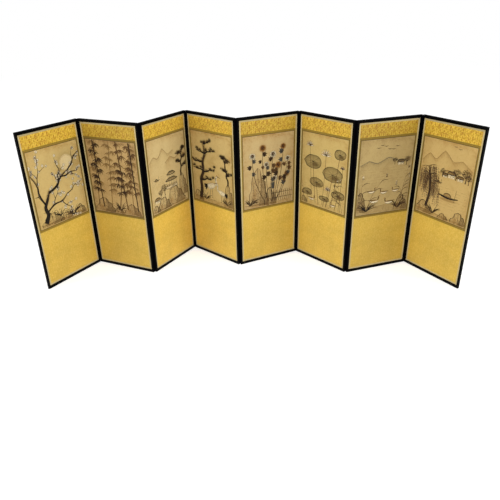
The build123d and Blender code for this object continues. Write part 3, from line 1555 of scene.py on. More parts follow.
    def lotus_flower(self, centre: Point, radius: float, foot: Point) -> None:
        """A lotus flower with pointed white petals, flushed at their tips.

        Args:
            centre: Where the petals meet.
            radius: Length of a petal.
            foot: The stalk's foot.
        """
        bend = ((foot[0] + centre[0]) / 2 + 2, (foot[1] + centre[1]) / 2)
        self.stroke([foot, bend, centre], 1.2, MID, EVEN)
        for ring, (count, reach) in enumerate(((7, 1.0), (4, 0.7))):
            for step in range(count):
                angle = math.pi * (0.06 + ring * 0.12 + (0.88 - ring * 0.24) * step / (count - 1))
                tip = onward(centre, angle, radius * reach)
                middle = onward(centre, angle, radius * reach * 0.6)
                self.stroke([centre, middle, tip], radius * 0.34, WHITE, LEAF)
                self.stroke([middle, tip], 0.7, RUST)
                for side in (-1, 1):
                    edge = onward(centre, angle + side * 0.3, radius * reach * 0.6)
                    self.stroke([centre, edge, tip], 0.7, DARK, LINE)

    def reed(self, base: Point, height: float, lean: float) -> None:
        """A reed with drooping blades and a feathery head.

        Args:
            base: Its foot.
            height: Its height.
            lean: Its lean to the right.
        """
        stem = self.arc(base, UP - lean * 0.4, height, -lean, 4)
        self.stroke(stem, 1.0, MID)
        side = math.copysign(1, lean)
        for spot in stem[1:4]:
            self.stroke(self.arc(spot, UP - side * 0.5, height * 0.3, -side * 1.7, 4), 1.6, DARK, LEAF)
        for _ in range(18):
            at = onward(stem[-1], self.near(UP, 0.2), self.near(0, 6))
            plume = self.arc(at, UP - side * self.near(1.0, 0.5), self.near(6, 1.5), -side * 0.5)
            self.stroke(plume, 0.7, self.rng.choice((MID, DARK, WHITE)))

    def reeds(self, places: Iterable[float], y: float, height: Point, lean: float) -> None:
        """Reeds at places across, given their height and how far it varies, and their largest lean."""
        for x in places:
            self.reed((x, y), self.near(*height), self.near(0, lean))

    def willow(self, base: Point, height: float) -> None:
        """A willow: a gnarled trunk under a crown of boughs, and a curtain of leafy shoots.

        Args:
            base: Its foot.
            height: Its trunk's height.
        """
        trunk = self.arc(base, UP - 0.3, height, 0.7, 5)
        self.stroke(trunk, 7, DARK)
        self.bark(trunk, 6.5, 24)
        for bough in range(11):
            side = -1 if bough % 2 else 1
            way = UP - side * self.near(0.9, 0.6)
            limb = self.arc(trunk[3 + bough % 3], way, self.near(26, 9), -side * 0.9, 4)
            self.stroke(limb, 1.5, DARK)
            for spot in limb[1:]:
                for _ in range(3):
                    start = self.about(spot, 3, 2)
                    self.shoot(self.arc(start, -UP + self.near(0.1, 0.22), self.near(40, 18), -0.2, 7))

    def shoot(self, line: Line) -> None:
        """A hanging willow shoot with a pair of leaves at each joint.

        Args:
            line: The shoot's points.
        """
        self.stroke(line, 0.45, MID, LINE)
        for point in line[1:]:
            for turn in (-0.5, 0.5):
                tone = self.rng.choice((MID, PALE, SLATE))
                self.leaf(point, -UP + self.near(turn, 0.2), 4.6, 0.8, tone)


class Painting(Plants):
    """An ink painting of plants, birds and things that people build. Subclasses compose one each."""

    def compose(self) -> None:
        """Paints the picture."""
        raise NotImplementedError

    def goose(self, spot: Spot) -> None:
        """A wild goose: a brown back and folded wing over a pale breast, and a dark neck.

        Args:
            spot: Its middle, its size and the side that it faces.
        """
        line, size = spot.line, spot.size
        self.stroke(line((-0.9, 0.1), (0.0, -0.2), (0.75, 0.15)), size * 0.5, WHITE, LEAF)
        self.stroke(line((-1.1, 0.25), (-0.2, 0.3), (0.62, 0.22)), size * 0.44, PALE, LEAF)
        for feather in range(5):
            root = 0.3 - 0.24 * feather
            self.stroke(line((root, 0.4), (root - 0.26, 0.22), (root - 0.5, 0.2)), 0.7, DARK)
        self.stroke(line((-0.6, 0.3), (-1.0, 0.3), (-1.35, 0.42)), size * 0.16, DARK, LEAF)
        self.stroke(line((-1.0, 0.12), (-0.1, -0.42), (0.75, 0.02), (0.7, 0.35)), 0.7, DARK, LINE)
        self.stroke(line((0.5, 0.25), (0.86, 0.55), (0.62, 0.85), (0.86, 0.98)), size * 0.15, MID, EVEN)
        self.stroke(line((0.5, 0.45), (0.74, 0.6), (0.52, 0.9)), 0.6, DARK, LINE)
        self.stroke(line((0.86, 0.97), (1.14, 0.92)), size * 0.1, OCHRE)

    def flying(self, centre: Point, size: float) -> None:
        """A far bird in flight."""
        for side in (-1, 1):
            self.stroke(Spot(*centre, size, side).line((0, 0), (0.5, 0.35), (1, 0.1)), size * 0.18, DARK)

    def crane(self, spot: Spot) -> None:
        """A standing crane: a full white body, black drooping plumes, a curved neck and long legs.

        Args:
            spot: Its feet, its size and the side that it faces.
        """
        line, size = spot.line, spot.size
        for hip, toe in ((-0.06, -0.12), (0.05, 0.06)):
            self.stroke(line((toe, 0), (toe + 0.05, 0.2), (hip, 0.42)), 1.0, DARK, EVEN)
            for claw in (-0.05, 0.04, 0.1):
                self.stroke(line((toe, 0.01), (toe + claw, -0.03)), 0.7, DARK)
        belly = line((-0.4, 0.56), (-0.12, 0.38), (0.22, 0.5), (0.3, 0.68))
        back = line((-0.4, 0.56), (-0.08, 0.72), (0.2, 0.76), (0.3, 0.68))
        self.wash.fill([*belly, *reversed(back)], 0.8, WHITE, size, 1.0)
        self.stroke(line((-0.38, 0.55), (-0.05, 0.54), (0.3, 0.66)), size * 0.24, WHITE, LEAF)
        for edge in (belly, back):
            self.stroke(edge, 0.7, DARK, LINE)
        for row in range(3):
            for feather in range(4):
                x, y = 0.12 - 0.11 * feather - 0.03 * row, 0.66 - 0.07 * row
                self.stroke(line((x, y), (x - 0.05, y), (x - 0.1, y - 0.05)), 0.5, MID, LINE)
        for plume in range(7):
            way = UP + spot.side * (UP + 0.05 + 0.15 * plume)
            root = spot.at(-0.24, 0.6 - 0.01 * plume)
            self.leaf(root, way, size * 0.28, size * 0.06, BLACK, 0.3)
        neck = line((0.22, 0.62), (0.44, 0.74), (0.3, 0.98), (0.42, 1.12))
        self.stroke(neck, size * 0.085, WHITE, EVEN)
        for shift in (-0.035, 0.035):
            self.stroke([(x + shift * size, y) for x, y in neck], 0.6, DARK, LINE)
        self.stroke(line((0.33, 0.84), (0.3, 0.98), (0.39, 1.1)), size * 0.045, BLACK, LEAF)
        self.stroke(line((0.42, 1.13), (0.54, 1.1), (0.68, 1.07)), size * 0.035, DARK)
        self.dot(spot.at(0.41, 1.16), size * 0.045, RUST)

    def pavilion(self, spot: Spot) -> None:
        """An open pavilion: two tiled roofs with lifted eaves, posts, a railing and a stone terrace.

        Args:
            spot: The middle of its floor, and its size.
        """
        line, size = spot.line, spot.size
        terrace = line((-0.62, 0), (-0.58, -0.16), (0.58, -0.16), (0.62, 0))
        self.wash.fill(terrace, 0.5, WHITE, size, 1.0)
        self.stroke([*terrace, terrace[0]], 1.0, DARK, EVEN, angular=True)
        for width, floor, eave in ((0.5, 0.0, 0.36), (0.32, 0.62, 0.78)):
            for post in np.linspace(-width, width, 5):
                self.stroke(line((post, floor), (post, eave + 0.04)), size * 0.026, DARK, EVEN)
            half, ridge, corner = width + 0.14, eave + 0.22, eave + 0.05
            roof = line((-half, corner), (-width * 0.6, ridge), (width * 0.6, ridge), (half, corner))
            self.wash.fill(roof, 0.65, DARK, size * 0.1, 0.8)
            for first, thick in ((0, 0.04), (1, 0.055), (2, 0.04)):
                self.stroke(roof[first : first + 2], size * thick, BLACK, EVEN)
            eaves = [roof[0], *line((-half * 0.5, eave), (half * 0.5, eave)), roof[3]]
            self.stroke(eaves, size * 0.045, BLACK, EVEN)
            for tile in np.linspace(-0.9, 0.9, 13):
                self.stroke(line((width * 0.62 * tile, eave + 0.2), (half * tile, eave + 0.03)), 0.55, BLACK)
        for rail in (0.06, 0.12):
            self.stroke(line((-0.55, rail), (0.55, rail)), size * 0.02, DARK, EVEN)
        for post in np.linspace(-0.55, 0.55, 15):
            self.stroke(line((post, 0), (post, 0.12)), 0.5, DARK, EVEN)

    def hut(self, spot: Spot) -> None:
        """A thatched hut with a window and a door.

        Args:
            spot: The middle of its foot, and its size.
        """
        line, size = spot.line, spot.size
        wall = line((-0.5, 0), (-0.5, 0.45), (0.5, 0.45), (0.5, 0))
        self.wash.fill(wall, 0.7, WHITE, size, 1.0)
        self.stroke(wall, 0.9, DARK, EVEN, angular=True)
        roof = line((-0.68, 0.4), (-0.42, 0.82), (0.42, 0.84), (0.7, 0.4))
        self.wash.fill(roof, 0.8, MID, size * 0.2)
        self.stroke([*roof, roof[0]], 1.4, BLACK, EVEN, angular=True)
        for straw in np.linspace(-0.55, 0.55, 12):
            self.stroke(line((straw * 0.7, 0.8), (straw, 0.44)), 0.7, DARK)
        door = line((-0.1, 0), (-0.1, 0.32), (0.12, 0.32), (0.12, 0))
        self.stroke(door, 0.8, DARK, EVEN, angular=True)
        self.dot(spot.at(0.33, 0.24), size * 0.1, BLACK)

    def boat(self, spot: Spot) -> None:
        """A small boat with a reed shelter and a pole.

        Args:
            spot: Its middle, and half its length.
        """
        line, size = spot.line, spot.size
        self.stroke(line((-1, 0.28), (0, -0.06), (1, 0.24)), size * 0.16, BLACK, LINE)
        self.stroke(line((-0.95, 0.3), (0, 0.14), (0.95, 0.26)), size * 0.05, DARK, LINE)
        shelter = line((-0.52, 0.14), (-0.46, 0.42), (-0.1, 0.56), (0.26, 0.42), (0.32, 0.14))
        self.wash.fill(shelter, 0.7, MID, size * 0.2)
        self.stroke(shelter, 1.4, BLACK, EVEN)
        for rib in (-0.3, -0.1, 0.1):
            self.stroke(line((rib, 0.12), (rib - 0.02, 0.5)), 0.7, DARK)
        self.stroke(line((0.62, -0.1), (0.74, 1.0)), 0.9, DARK, EVEN)
        self.wash.ellipse(spot.at(0, -0.05), (size, size * 0.16), 0.5, MID)

    def fence(self, left: float, right: float, y: float, height: float) -> None:
        """A brushwood fence of crossed stakes.

        Args:
            left: Where it starts.
            right: Where it ends.
            y: Height of its foot.
            height: Its own height.
        """
        for x in np.arange(left, right, 7):
            for way in (-1, 1):
                self.stroke([(x, y), (x + way * 5, y + self.near(height, 2))], 1.1, MID, EVEN)
        for rail in (0.3, 0.75):
            level = y + rail * height
            line = [(left - 3, level), ((left + right) / 2, level + 1), (right + 3, level)]
            self.stroke(line, 1.4, DARK, EVEN)


class PlumAndMoon(Painting):
    """An old plum tree across a full moon."""

    def compose(self) -> None:
        """Paints the picture."""
        self.moon((122, 162), 22)
        trunk = [(22, 12), (34, 34), (27, 56), (40, 78), (50, 98)]
        self.stroke(trunk, 11, BLACK, angular=True)
        self.bark(trunk, 10, 16)
        tips: Line = []
        self.bough((48, 94), 0.7, 92, 6, 2, tips)
        self.bough((31, 64), 1.9, 96, 4.5, 2, tips)
        self.bough((36, 44), 0.25, 84, 4, 2, tips)
        for tip in tips:
            for _ in range(2):
                if self.rng.random() < 0.6:
                    self.blossom(self.about(tip, 5, 5), self.near(4.2, 0.7))
        self.rocks(((44, 2), 74, 36, BLACK), ((92, 2), 44, 22), ((144, 2), 40, 30, BLACK))
        self.moss((44, 38), (26, 8), 34)
        self.grass((118, 6), 16, 34, DARK)
        self.grass((72, 18), 10, 22, BLACK)
        self.ground(9)


class BambooGrove(Painting):
    """A dense bamboo grove over rocks."""

    paper = PicturePaper(colour=srgb(194, 161, 104), foxing=srgb(132, 98, 54), age=0.7)

    def compose(self) -> None:
        """Paints the picture."""
        for x, height, width, tone, lean in (
            (16, 200, 3.0, PALE, 0.07), (34, 200, 3.4, DARK, -0.05), (64, 200, 2.6, PALE, 0.08),
            (92, 96, 3.0, MID, 0.2), (120, 200, 3.8, MID, -0.08), (140, 200, 2.8, PALE, 0.03),
            (156, 200, 3.6, DARK, -0.04),
        ):
            joints = self.bamboo((x, 14), height, width, tone, lean)
            leaf_tone = PALE if tone is PALE else self.rng.choice((DARK, MID, BLACK))
            for joint in joints[3:]:
                side = self.rng.choice((-1, 1))
                twig = self.arc(joint, UP - side * 0.9, 13, -side * 0.5)
                self.stroke(twig, 0.8, DARK)
                self.spray(twig[-1], 6, 17, leaf_tone)
                self.spray((self.near(joint[0], 5), joint[1]), 4, 14, leaf_tone)
        self.rocks(((38, 2), 70, 42, BLACK), ((136, 2), 58, 34), ((88, 2), 32, 18))
        self.grass((94, 10), 16, 30, DARK)
        self.moss((84, 16), (44, 9), 60)


class PavilionAndCliff(Painting):
    """A pavilion on a cliff, with a pine over it and hills beyond."""

    paper = PicturePaper(colour=srgb(208, 184, 128), age=0.45)

    def compose(self) -> None:
        """Paints the picture."""
        self.hills([(2, 150), (22, 168), (40, 158), (62, 186), (86, 162), (112, 172)], PALE, 0.4, 12)
        self.hills([(70, 140), (96, 154), (120, 144), (146, 160), (166, 148)], PALE, 0.45, 10)
        self.rocks(((146, 20), 44, 74), ((106, 2), 92, 62), ((52, 2), 62, 40), ((16, 2), 34, 24))
        self.pavilion(Spot(94, 66, 44))
        self.pine((142, 84), 0.2, 84, 5, 5)
        self.leafy((60, 44), 36, 14)
        self.leafy((40, 38), 28, 11)
        self.hut(Spot(24, 30, 20))
        self.moss((100, 56), (34, 6), 40)
        self.boat(Spot(28, 96, 13))
        self.ripples(4, 74, 84, 5)
        self.ground(6, 0.2)


class PineAndCranes(Painting):
    """Two cranes under an old pine."""

    paper = PicturePaper(colour=srgb(206, 178, 114), age=0.6)

    def compose(self) -> None:
        """Paints the picture."""
        self.rock((150, 2), 40, 74)
        self.pine((30, 10), 0.1, 184, 11, 7)
        self.pine((150, 70), -0.25, 84, 5, 4)
        self.rock((20, 2), 44, 30)
        self.crane(Spot(78, 20, 62))
        self.crane(Spot(124, 12, 50, -1))
        self.grass((54, 8), 14, 26, DARK)
        self.grass((144, 6), 12, 24, DARK)
        self.moss((40, 26), (16, 8), 30)
        self.ground(13)


class ChrysanthemumFence(Painting):
    """Chrysanthemums beside a rock and a brushwood fence."""

    paper = PicturePaper(colour=srgb(197, 171, 118), age=0.6)

    def compose(self) -> None:
        """Paints the picture."""
        self.rocks(((48, 4), 66, 116), ((88, 2), 42, 54, BLACK))
        self.fence(96, 162, 10, 34)
        for x, y, radius, tone in (
            (30, 158, 13, WHITE), (64, 178, 14, OCHRE), (98, 156, 14, WHITE), (132, 176, 12, OCHRE),
            (76, 128, 12, WHITE), (116, 122, 14, OCHRE), (148, 138, 12, WHITE), (146, 92, 12, OCHRE),
            (104, 84, 11, WHITE),
        ):
            bend = (x + self.near(0, 10), y * 0.55)
            self.stroke([(88 + (x - 88) * 0.3, 12), bend, (x, y)], 1.5, DARK, EVEN)
            for share in (0.25, 0.5, 0.75):
                spot = (bend[0] + (x - bend[0]) * share, bend[1] + (y - bend[1]) * share)
                side = self.rng.choice((-1, 1))
                shade = self.rng.choice((DARK, MID, SLATE))
                self.lobed(spot, UP - side * self.near(1.2, 0.5), self.near(14, 3), shade)
            self.daisy((x, y), radius, tone)
        self.grass((20, 8), 16, 32, DARK)
        self.moss((60, 20), (30, 8), 30)
        self.ground(10)


class LotusPond(Painting):
    """Lotus leaves and flowers over still water."""

    paper = PicturePaper(colour=srgb(203, 176, 108), age=0.5)

    def compose(self) -> None:
        """Paints the picture."""
        self.ripples(4, 160, 8, 10, 6)
        for leaf in (
            ((44, 134), (33, 20), (58, 8)), ((120, 108), (37, 22), (100, 6)),
            ((60, 74), (28, 14), (70, 6)), ((142, 52), (24, 12), (132, 4)),
            ((24, 38), (20, 10), (26, 4)), ((142, 170), (21, 14), (118, 8)),
            ((92, 30), (20, 8), (88, 4)),
        ):
            self.lotus_leaf(*leaf)
        for flower in (
            ((92, 158), 20, (84, 8)), ((30, 178), 16, (42, 10)),
            ((104, 58), 14, (98, 6)), ((154, 132), 10, (146, 8)),
        ):
            self.lotus_flower(*flower)
        self.reeds((8, 14, 152, 160, 112), 4, (96, 20), 0.5)
        self.goose(Spot(44, 18, 13))
        self.goose(Spot(124, 16, 11, -1))
        self.rock((12, 2), 26, 20, BLACK)


class ReedsAndGeese(Painting):
    """Geese on a river bank, among reeds."""

    paper = PicturePaper(colour=srgb(184, 159, 104), foxing=srgb(138, 110, 66), age=0.6)

    def compose(self) -> None:
        """Paints the picture."""
        self.hills([(2, 146), (30, 158), (58, 148), (92, 164), (130, 150), (166, 158)], SLATE, 0.4, 9)
        self.ripples(6, 160, 92, 6, 8)
        self.rocks(((146, 2), 44, 46), ((12, 8), 34, 62))
        self.hut(Spot(132, 138, 18))
        self.leafy((150, 134), 26, 10)
        self.leafy((112, 140), 20, 8)
        for spot in ((58, 36, 17), (104, 28, 16, -1), (46, 66, 13), (84, 60, 13, -1), (122, 62, 12, -1)):
            self.goose(Spot(*spot))
        self.reeds((12, 22, 32, 134, 142, 150, 160), 10, (104, 24), 0.6)
        self.grass((32, 8), 18, 36, BLACK)
        self.grass((136, 8), 16, 32, DARK)
        for step in range(6):
            self.flying((56 + step * 12, 190 + 7 * math.sin(step * 1.3)), 7.5)
        self.ground(22)


class WillowAndBoat(Painting):
    """A river with moored boats under a willow, a hamlet and far hills."""

    paper = PicturePaper(colour=srgb(204, 173, 108), age=0.5)

    def compose(self) -> None:
        """Paints the picture."""
        far = [(2, 150), (26, 176), (48, 160), (74, 192), (104, 164), (132, 174), (166, 152)]
        self.hills(far, PALE, 0.45, 14)
        self.hills([(60, 128), (92, 142), (124, 130), (166, 138)], MID, 0.4, 8)
        for spot in ((104, 122, 22), (132, 120, 17), (84, 120, 14)):
            self.hut(Spot(*spot))
        for x, y, height in ((118, 120, 32), (148, 118, 38), (76, 120, 24), (158, 116, 26)):
            self.leafy((x, y), height, height * 0.4)
        self.willow((34, 24), 116)
        self.rocks(((26, 2), 62, 36), ((146, 2), 48, 34, BLACK), ((96, 2), 34, 16))
        self.boat(Spot(104, 62, 32))
        self.boat(Spot(66, 100, 13))
        self.ripples(20, 160, 36, 8, 8)
        self.grass((60, 8), 16, 28, DARK)
        self.moss((34, 30), (18, 5), 30)
        self.flying((118, 202), 7)
        self.flying((104, 206), 6)
        self.ground(10)


PAINTINGS: tuple[type[Painting], ...] = (
    PlumAndMoon, BambooGrove, PavilionAndCliff, PineAndCranes,
    ChrysanthemumFence, LotusPond, ReedsAndGeese, WillowAndBoat,
)

# Painted light: how much lighter or darker each panel's brocade band, silk field and border are painted, for
# the lamps and sheen on that panel, from the first panel on
MOUNT_PAINTED_LIGHT = (
    (1.12, 1.02, 1.0), (0.86, 1.0, 0.76), (1.12, 1.16, 0.95), (1.06, 1.18, 1.04),
    (0.9, 1.01, 0.96), (1.04, 1.08, 0.92), (0.8, 0.93, 0.8), (1.1, 1.03, 0.96),
)


# ---- sub-assemblies


@dataclass
class SilkSheet:
    """One sheet of figured silk, pasted on the front paper."""

    place: PanelPlace
    kind: str
    low: Vector
    high: Vector
    finish: GoldSilk
    cell: float = 6 * MM
    slack: float = 0.07 * MM
    # Turn of the waves across and up a sheet and from panel to panel, and how soon they rise
    waves: Point = (7, 5)
    shift: Point = (1.7, 1.02)
    rise: float = 12

    def lift(self, across: float, up: float) -> float:
        """Shallow waves of the pasted silk, held flat along its edges.

        Args:
            across: Share of the sheet's width.
            up: Share of the sheet's height.

        Returns:
            How far the silk stands out there, in metres.
        """
        held = min(1.0, self.rise * min(across, 1 - across, up, 1 - up))
        wave = 1.0
        for share, turn, shift in zip((across, up), self.waves, self.shift):
            wave *= math.sin(turn * share + shift * self.place.number)
        return self.slack * held * (1 + wave) / 2

    def build(self) -> None:
        """Makes the sheet and puts it on its panel."""
        made = thin_sheet(self.low + Vector((0, self.slack, 0)), self.high, self.cell, self.lift)
        silk = self.finish.material(self.place, self.place.node(self.kind))
        sheet = on_panel(self.place, self.kind, made, [silk])
        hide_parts(self.place.node("silk"))
        self.place.node("front_lining")


@dataclass
class LiningSheet:
    """The front or back paper of a panel, pasted on the core and drawn tight as a drum."""

    place: PanelPlace
    side: str
    cell: float = 4 * MM
    thickness: float = 0.4 * MM
    draw: float = 0.24 * MM
    low: Vector = field(init=False)
    high: Vector = field(init=False)
    lattice: Lattice = field(init=False)

    def __post_init__(self) -> None:
        """Reads where the papers and the battens lie."""
        self.low, self.high = self.place.span("papers")
        self.lattice = Lattice.of(self.place)

    def drawn(self, across: float, up: float) -> float:
        """How far the back paper is drawn in between the battens. The front one lies flat.

        Args:
            across: Share of the sheet's width.
            up: Share of the sheet's height.

        Returns:
            How far the paper stands out there, in metres.
        """
        if self.side == "front":
            return 0.0
        x = self.low.x + across * (self.high.x - self.low.x)
        z = self.low.z + up * (self.high.z - self.low.z)
        return -self.draw * self.lattice.slack(x / MM, z / MM)

    def build(self) -> None:
        """Makes the sheet with its face outwards, and puts it on its panel."""
        face, inwards = (self.low.y, 1) if self.side == "front" else (self.high.y, -1)
        low = Vector((self.low.x, face, self.low.z))
        high = Vector((self.high.x, face + inwards * self.thickness, self.high.z))
        made = thin_sheet(low, high, self.cell, self.drawn)
        kind = f"{self.side}_lining"
        paper = LiningPaper(printed=self.side == "back").material(self.place, self.place.node(kind))
        sheet = on_panel(self.place, kind, made, [paper])
        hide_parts(self.place.node("papers"))


@dataclass
class CornerGlue:
    """The dark glue in the four mitres of a panel's frame."""

    place: PanelPlace
    stile: float = 5.7 * MM
    bottom_rail: float = 9.1 * MM
    top_rail: float = 8.2 * MM
    thickness: float = 0.05 * MM
    inset: float = 0.12 * MM

    def build(self) -> None:
        """Makes a thin slip in each mitre, all in one piece."""
        low, high = self.place.span("frame")
        made = bmesh.new()
        deep = high.y - low.y - 2 * self.inset
        for x, inward in ((low.x, 1), (high.x, -1)):
            for z, rise in ((low.z, self.bottom_rail), (high.z, -self.top_rail)):
                run = Vector((inward * self.stile, 0, rise))
                middle = Vector((x, (low.y + high.y) / 2, z)) + run / 2
                size = Matrix.Diagonal((run.length - 3 * self.inset, deep, self.thickness, 1))
                turn = Matrix.Rotation(-math.atan2(run.z, run.x), 4, "Y")
                bmesh.ops.create_cube(made, size=1, matrix=Matrix.Translation(middle) @ turn @ size)
        on_panel(self.place, "corner_glue", made, [Lacquer().material(self.place)])


@dataclass
class Picture:
    """The painted sheet of one panel and the ink on it."""

    place: PanelPlace
    painting_type: type[Painting]
    cell: float = 1.4 * MM

    def build(self) -> None:
        """Makes the sheet with its washes, and the ink strokes over it."""
        low, high = self.place.span("picture")
        made = thin_sheet(low, high, self.cell, lambda across, up: 0.0)
        points = np.array([(vert.co.x - low.x, vert.co.z - low.z) for vert in made.verts]) / MM
        wash = WashLayer(points, self.painting_type.paper.colour)
        width, height = (high.x - low.x) / MM, (high.z - low.z) / MM
        painting = self.painting_type(width, height, wash, seed=self.place.number)
        painting.compose()
        paper = painting.paper.material(self.place)
        sheet = on_panel(self.place, "painting", made, [paper])
        colours = sheet.data.color_attributes.new(PicturePaper.WASH, "FLOAT_COLOR", "POINT")
        rgba = np.column_stack((wash.colours, np.ones(len(wash.colours))))
        colours.data.foreach_set("color", rgba.astype(np.float32).ravel())
        strokes, tones = painting.ink()
        on_sheet = Matrix.Translation(low) @ UPRIGHT @ Matrix.Scale(MM, 4)
        inks = [Ink(tone).material(self.place) for tone in tones]
        ink = on_panel(self.place, "ink", strokes, inks, on_sheet)
        for piece in (sheet, ink):
            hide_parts(self.place.node("picture"))


@dataclass
class Panel:
    """One panel: its carried-over solids and the new sheets on its front."""

    number: int
    place: PanelPlace = field(init=False)

    def __post_init__(self) -> None:
        """Reads the panel's place."""
        self.place = PanelPlace.of(self.number)

    @property
    def painted_light_levels(self) -> tuple[float, float, float]:
        """Painted light levels of the panel's brocade band, silk field and border."""
        return MOUNT_PAINTED_LIGHT[(self.number - 1) % len(MOUNT_PAINTED_LIGHT)]

    def dress(self) -> None:
        """Finishes the mouldings, border and core."""
        # The border's level is painted light: it lightens or darkens the border for the light on this panel
        finishes = {"frame": Lacquer(), "border": BorderPaper(fade=self.painted_light_levels[2]), "core": Softwood()}
        for kind, finish in finishes.items():
            piece = frame["nodes"][self.place.node(kind)]
            piece.data.materials.clear()
            piece.data.materials.append(finish.material(self.place))

    def build_silks(self) -> None:
        """Makes the brocade band over the border and the silk field under it."""
        low, high = self.place.span("silk")
        border_low, border_high = self.place.span("border")
        band_low = Vector((low.x, low.y, border_high.z))
        field_high = Vector((high.x, high.y, border_low.z))
        # Band and field levels are painted light: they lighten or darken this panel's silks for the light
        # and sheen on it
        band_painted_light, field_painted_light, _ = self.painted_light_levels
        brocade = GoldSilk(fade=band_painted_light)
        SilkSheet(self.place, "brocade_band", band_low, high, brocade).build()
        plain = GoldSilk(
            ground=srgb(206, 168, 60), figure=srgb(224, 190, 88), accent=srgb(206, 168, 60),
            contrast=0.35, repeat=16, grain=0.25, fade=field_painted_light,
        )
        SilkSheet(self.place, "silk_field", low, field_high, plain).build()

    def build(self) -> None:
        """Makes and finishes everything on the panel."""
        self.dress()
        CornerGlue(self.place).build()
        for side in ("front", "back"):
            LiningSheet(self.place, side).build()
        self.build_silks()
        Picture(self.place, PAINTINGS[(self.number - 1) % len(PAINTINGS)]).build()
        log.info("panel %d: frame, core, papers, border, silks and painting", self.number)


@dataclass
class HingeStrip:
    """The strip of cloth that joins two panels, glued to both edges and bent at its fold line."""

    number: int
    left: PanelPlace
    right: PanelPlace
    thickness: float = 0.4 * MM
    fold_gap: float = 0.2 * MM
    fold_reach: float = 0.15 * MM
    # Where the fold's outer and inner faces start, as shares of its reach
    outer_start: float = -0.4
    inner_start: float = 2

    def fold_line(self) -> tuple[Vector, bool]:
        """Finds the joint's axis.

        Returns:
            Where it crosses the table, and whether it lies on the front faces.
        """
        joint = next(j for j in frame["joints"] if j["child"] == self.right.body())
        origin = Vector(joint["pos_m"])
        low, high = self.left.span("frame")
        depth = (origin - self.left.corner).dot(-self.left.front)
        return Vector((origin.x, origin.y, 0)), depth < (low.y + high.y) / 2

    def outline(self, fold: Vector, on_front: bool) -> list[Vector]:
        """The strip's closed section, in plan.

        Args:
            fold: The fold line's foot.
            on_front: Whether the fold lies on the front faces.

        Returns:
            Its corners, in order round it.
        """
        low, high = self.left.span("frame")
        inwards = -1 if on_front else 1
        near, far, start = self.fold_gap, self.fold_gap + self.thickness, self.fold_reach
        outer, inner, end = start * self.outer_start, start * self.inner_start, start + high.y - low.y
        section = ((far, end), (far, start), (near, outer), (near, inner), (near, end))
        halves = []
        for place, side in ((self.left, -1), (self.right, 1)):
            across, depth = place.across * side, place.front * inwards
            halves.append([fold + across * out + depth * back for out, back in section])
        left, right = halves
        bend = (self.left.front + self.right.front).normalized() * inwards * self.fold_reach
        outside = [*left[:3], fold - bend, *reversed(right[:3])]
        return [*outside, *reversed(right[3:]), fold + bend, *left[3:]]

    def build(self) -> None:
        """Makes the strip, with its section bent at the fold line."""
        fold, on_front = self.fold_line()
        leaf_low, leaf_high = self.left.span("hinge_cloth")
        height = leaf_high.z - leaf_low.z
        made = bmesh.new()
        foot = [corner + Vector((0, 0, leaf_low.z)) for corner in self.outline(fold, on_front)]
        section = made.faces.new([made.verts.new(corner) for corner in foot])
        grown = bmesh.ops.extrude_face_region(made, geom=[section])["geom"]
        top = [item for item in grown if isinstance(item, bmesh.types.BMVert)]
        bmesh.ops.translate(made, vec=(0, 0, height), verts=top)
        bmesh.ops.recalc_face_normals(made, faces=made.faces)
        strip = finished(f"hinge_{self.number}_cloth", made, [HingeCloth().material(self.left)])
        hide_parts(self.left.node("hinge_cloth"), self.right.node("hinge_cloth"))
        low, high = self.left.span("frame")
        width = 2 * (high.y - low.y) + 2 * (self.fold_gap + self.thickness)
        joined = [self.left.node("frame"), self.right.node("frame")]
        along = (self.left.across + self.right.across).normalized() * self.fold_gap
        self.left.body()
        self.right.body()
        fold - along
        fold + along
        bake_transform(strip)


# ---- studio


@dataclass(frozen=True)
class SoftBox:
    """A large soft lamp that faces the middle of the screen."""

    name: str
    place: tuple[float, float, float]
    size: float
    power: float

    def build(self, aim: Vector) -> None:
        """Makes the lamp.

        Args:
            aim: The point that it faces.
        """
        data = bpy.data.lights.new(self.name, "AREA")
        data.shape = "DISK"
        data.size = self.size
        data.energy = self.power
        lamp = bpy.data.objects.new(self.name, data)
        place = Vector(self.place)
        turn = (aim - place).to_track_quat("-Z", "Y").to_matrix().to_4x4()
        lamp.matrix_world = Matrix.Translation(place) @ turn
        bpy.context.scene.collection.objects.link(lamp)


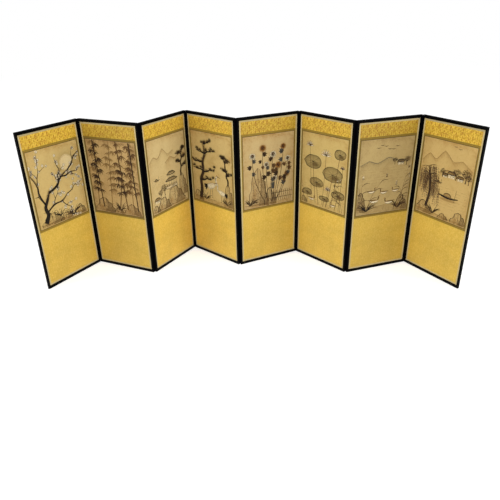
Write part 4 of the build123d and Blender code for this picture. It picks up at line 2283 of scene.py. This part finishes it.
@dataclass
class Studio:
    """A pale floor, soft light and the camera."""

    eye: tuple[float, float, float] = (0.0458, -1.3581, 0.7162)
    yaw: float = -2.139
    pitch: float = 25.969
    roll: float = -1.151
    lens: float = 35.595
    sensor: float = 36
    clip: Point = (0.05, 50)
    aim: tuple[float, float, float] = (0, 0, 0.2)
    floor_radius: float = 6.0
    floor_sides: int = 96
    floor_grey: float = 0.8
    floor_glow: float = 0.5
    sky: float = 0.6
    lamps: tuple[SoftBox, ...] = (
        SoftBox("front_lamp", (0.2, -2.0, 2.0), 2.0, 22.0),
        SoftBox("left_lamp", (-2.6, -1.0, 1.2), 1.6, 24.0),
        SoftBox("right_lamp", (2.6, -1.0, 1.2), 1.6, 28.0),
    )

    def build_camera(self) -> None:
        """Makes the camera, turned by its yaw, its downward pitch and its roll."""
        data = bpy.data.cameras.new("camera")
        data.sensor_width = self.sensor
        data.lens = self.lens
        data.clip_start, data.clip_end = self.clip
        camera = bpy.data.objects.new("camera", data)
        turn = Matrix.Rotation(-math.radians(self.yaw), 4, "Z")
        tilt = Matrix.Rotation(math.pi / 2 - math.radians(self.pitch), 4, "X")
        roll = Matrix.Rotation(math.radians(self.roll), 4, "Z")
        camera.matrix_world = Matrix.Translation(self.eye) @ turn @ tilt @ roll
        bpy.context.scene.collection.objects.link(camera)
        bpy.context.scene.camera = camera

    def build_floor(self) -> None:
        """Makes the floor, which shows white and keeps the screen's shadow."""
        made = bmesh.new()
        bmesh.ops.create_circle(
            made, cap_ends=True, segments=self.floor_sides, radius=self.floor_radius
        )
        tree = Tree("floor", Roughness=0.9, Specular_IOR_Level=0.1)
        tree.surface("Base Color", (self.floor_grey,) * 3)
        tree.surface("Emission Color", (1, 1, 1))
        seen = tree.nodes.new("ShaderNodeLightPath").outputs
        rays = [Signal(tree, seen[f"Is {kind} Ray"]) for kind in ("Camera", "Glossy", "Transmission")]
        direct = tree.math("MAXIMUM", tree.math("MAXIMUM", *rays[:2]), rays[2])
        tree.surface("Emission Strength", direct * self.floor_glow)
        finished("floor", made, [tree.material])

    def build_sky(self) -> None:
        """Makes the world: even soft light, seen as white."""
        world = bpy.data.worlds.new("studio")
        world.use_nodes = True
        nodes, links = world.node_tree.nodes, world.node_tree.links
        background = nodes["Background"]
        background.inputs["Color"].default_value = (1, 1, 1, 1)
        seen = nodes.new("ShaderNodeLightPath").outputs
        level = nodes.new("ShaderNodeMapRange")
        direct = nodes.new("ShaderNodeMath")
        direct.operation = "MAXIMUM"
        links.new(seen["Is Camera Ray"], direct.inputs[0])
        links.new(seen["Is Glossy Ray"], direct.inputs[1])
        links.new(direct.outputs[0], level.inputs["Value"])
        level.inputs["To Min"].default_value = self.sky
        level.inputs["To Max"].default_value = 1.0
        links.new(level.outputs[0], background.inputs["Strength"])
        bpy.context.scene.world = world

    def build(self) -> None:
        """Makes the whole studio."""
        bpy.context.scene.view_settings.view_transform = "Standard"
        self.build_camera()
        self.build_floor()
        self.build_sky()
        for lamp in self.lamps:
            lamp.build(Vector(self.aim))
        log.info("studio: camera, floor, sky and lamps")


def main() -> None:
    """Builds the studio, the eight panels and their seven hinges."""
    logging.basicConfig(level=logging.INFO, format="%(name)s: %(message)s")
    Studio().build()
    panels = [Panel(number) for number in range(1, PANEL_COUNT + 1)]
    for panel in panels:
        panel.build()
    for number, (left, right) in enumerate(zip(panels, panels[1:]), start=1):
        HingeStrip(number, left.place, right.place).build()
        log.info("hinge %d: cloth strip", number)


if __name__ == "__main__":
    main()
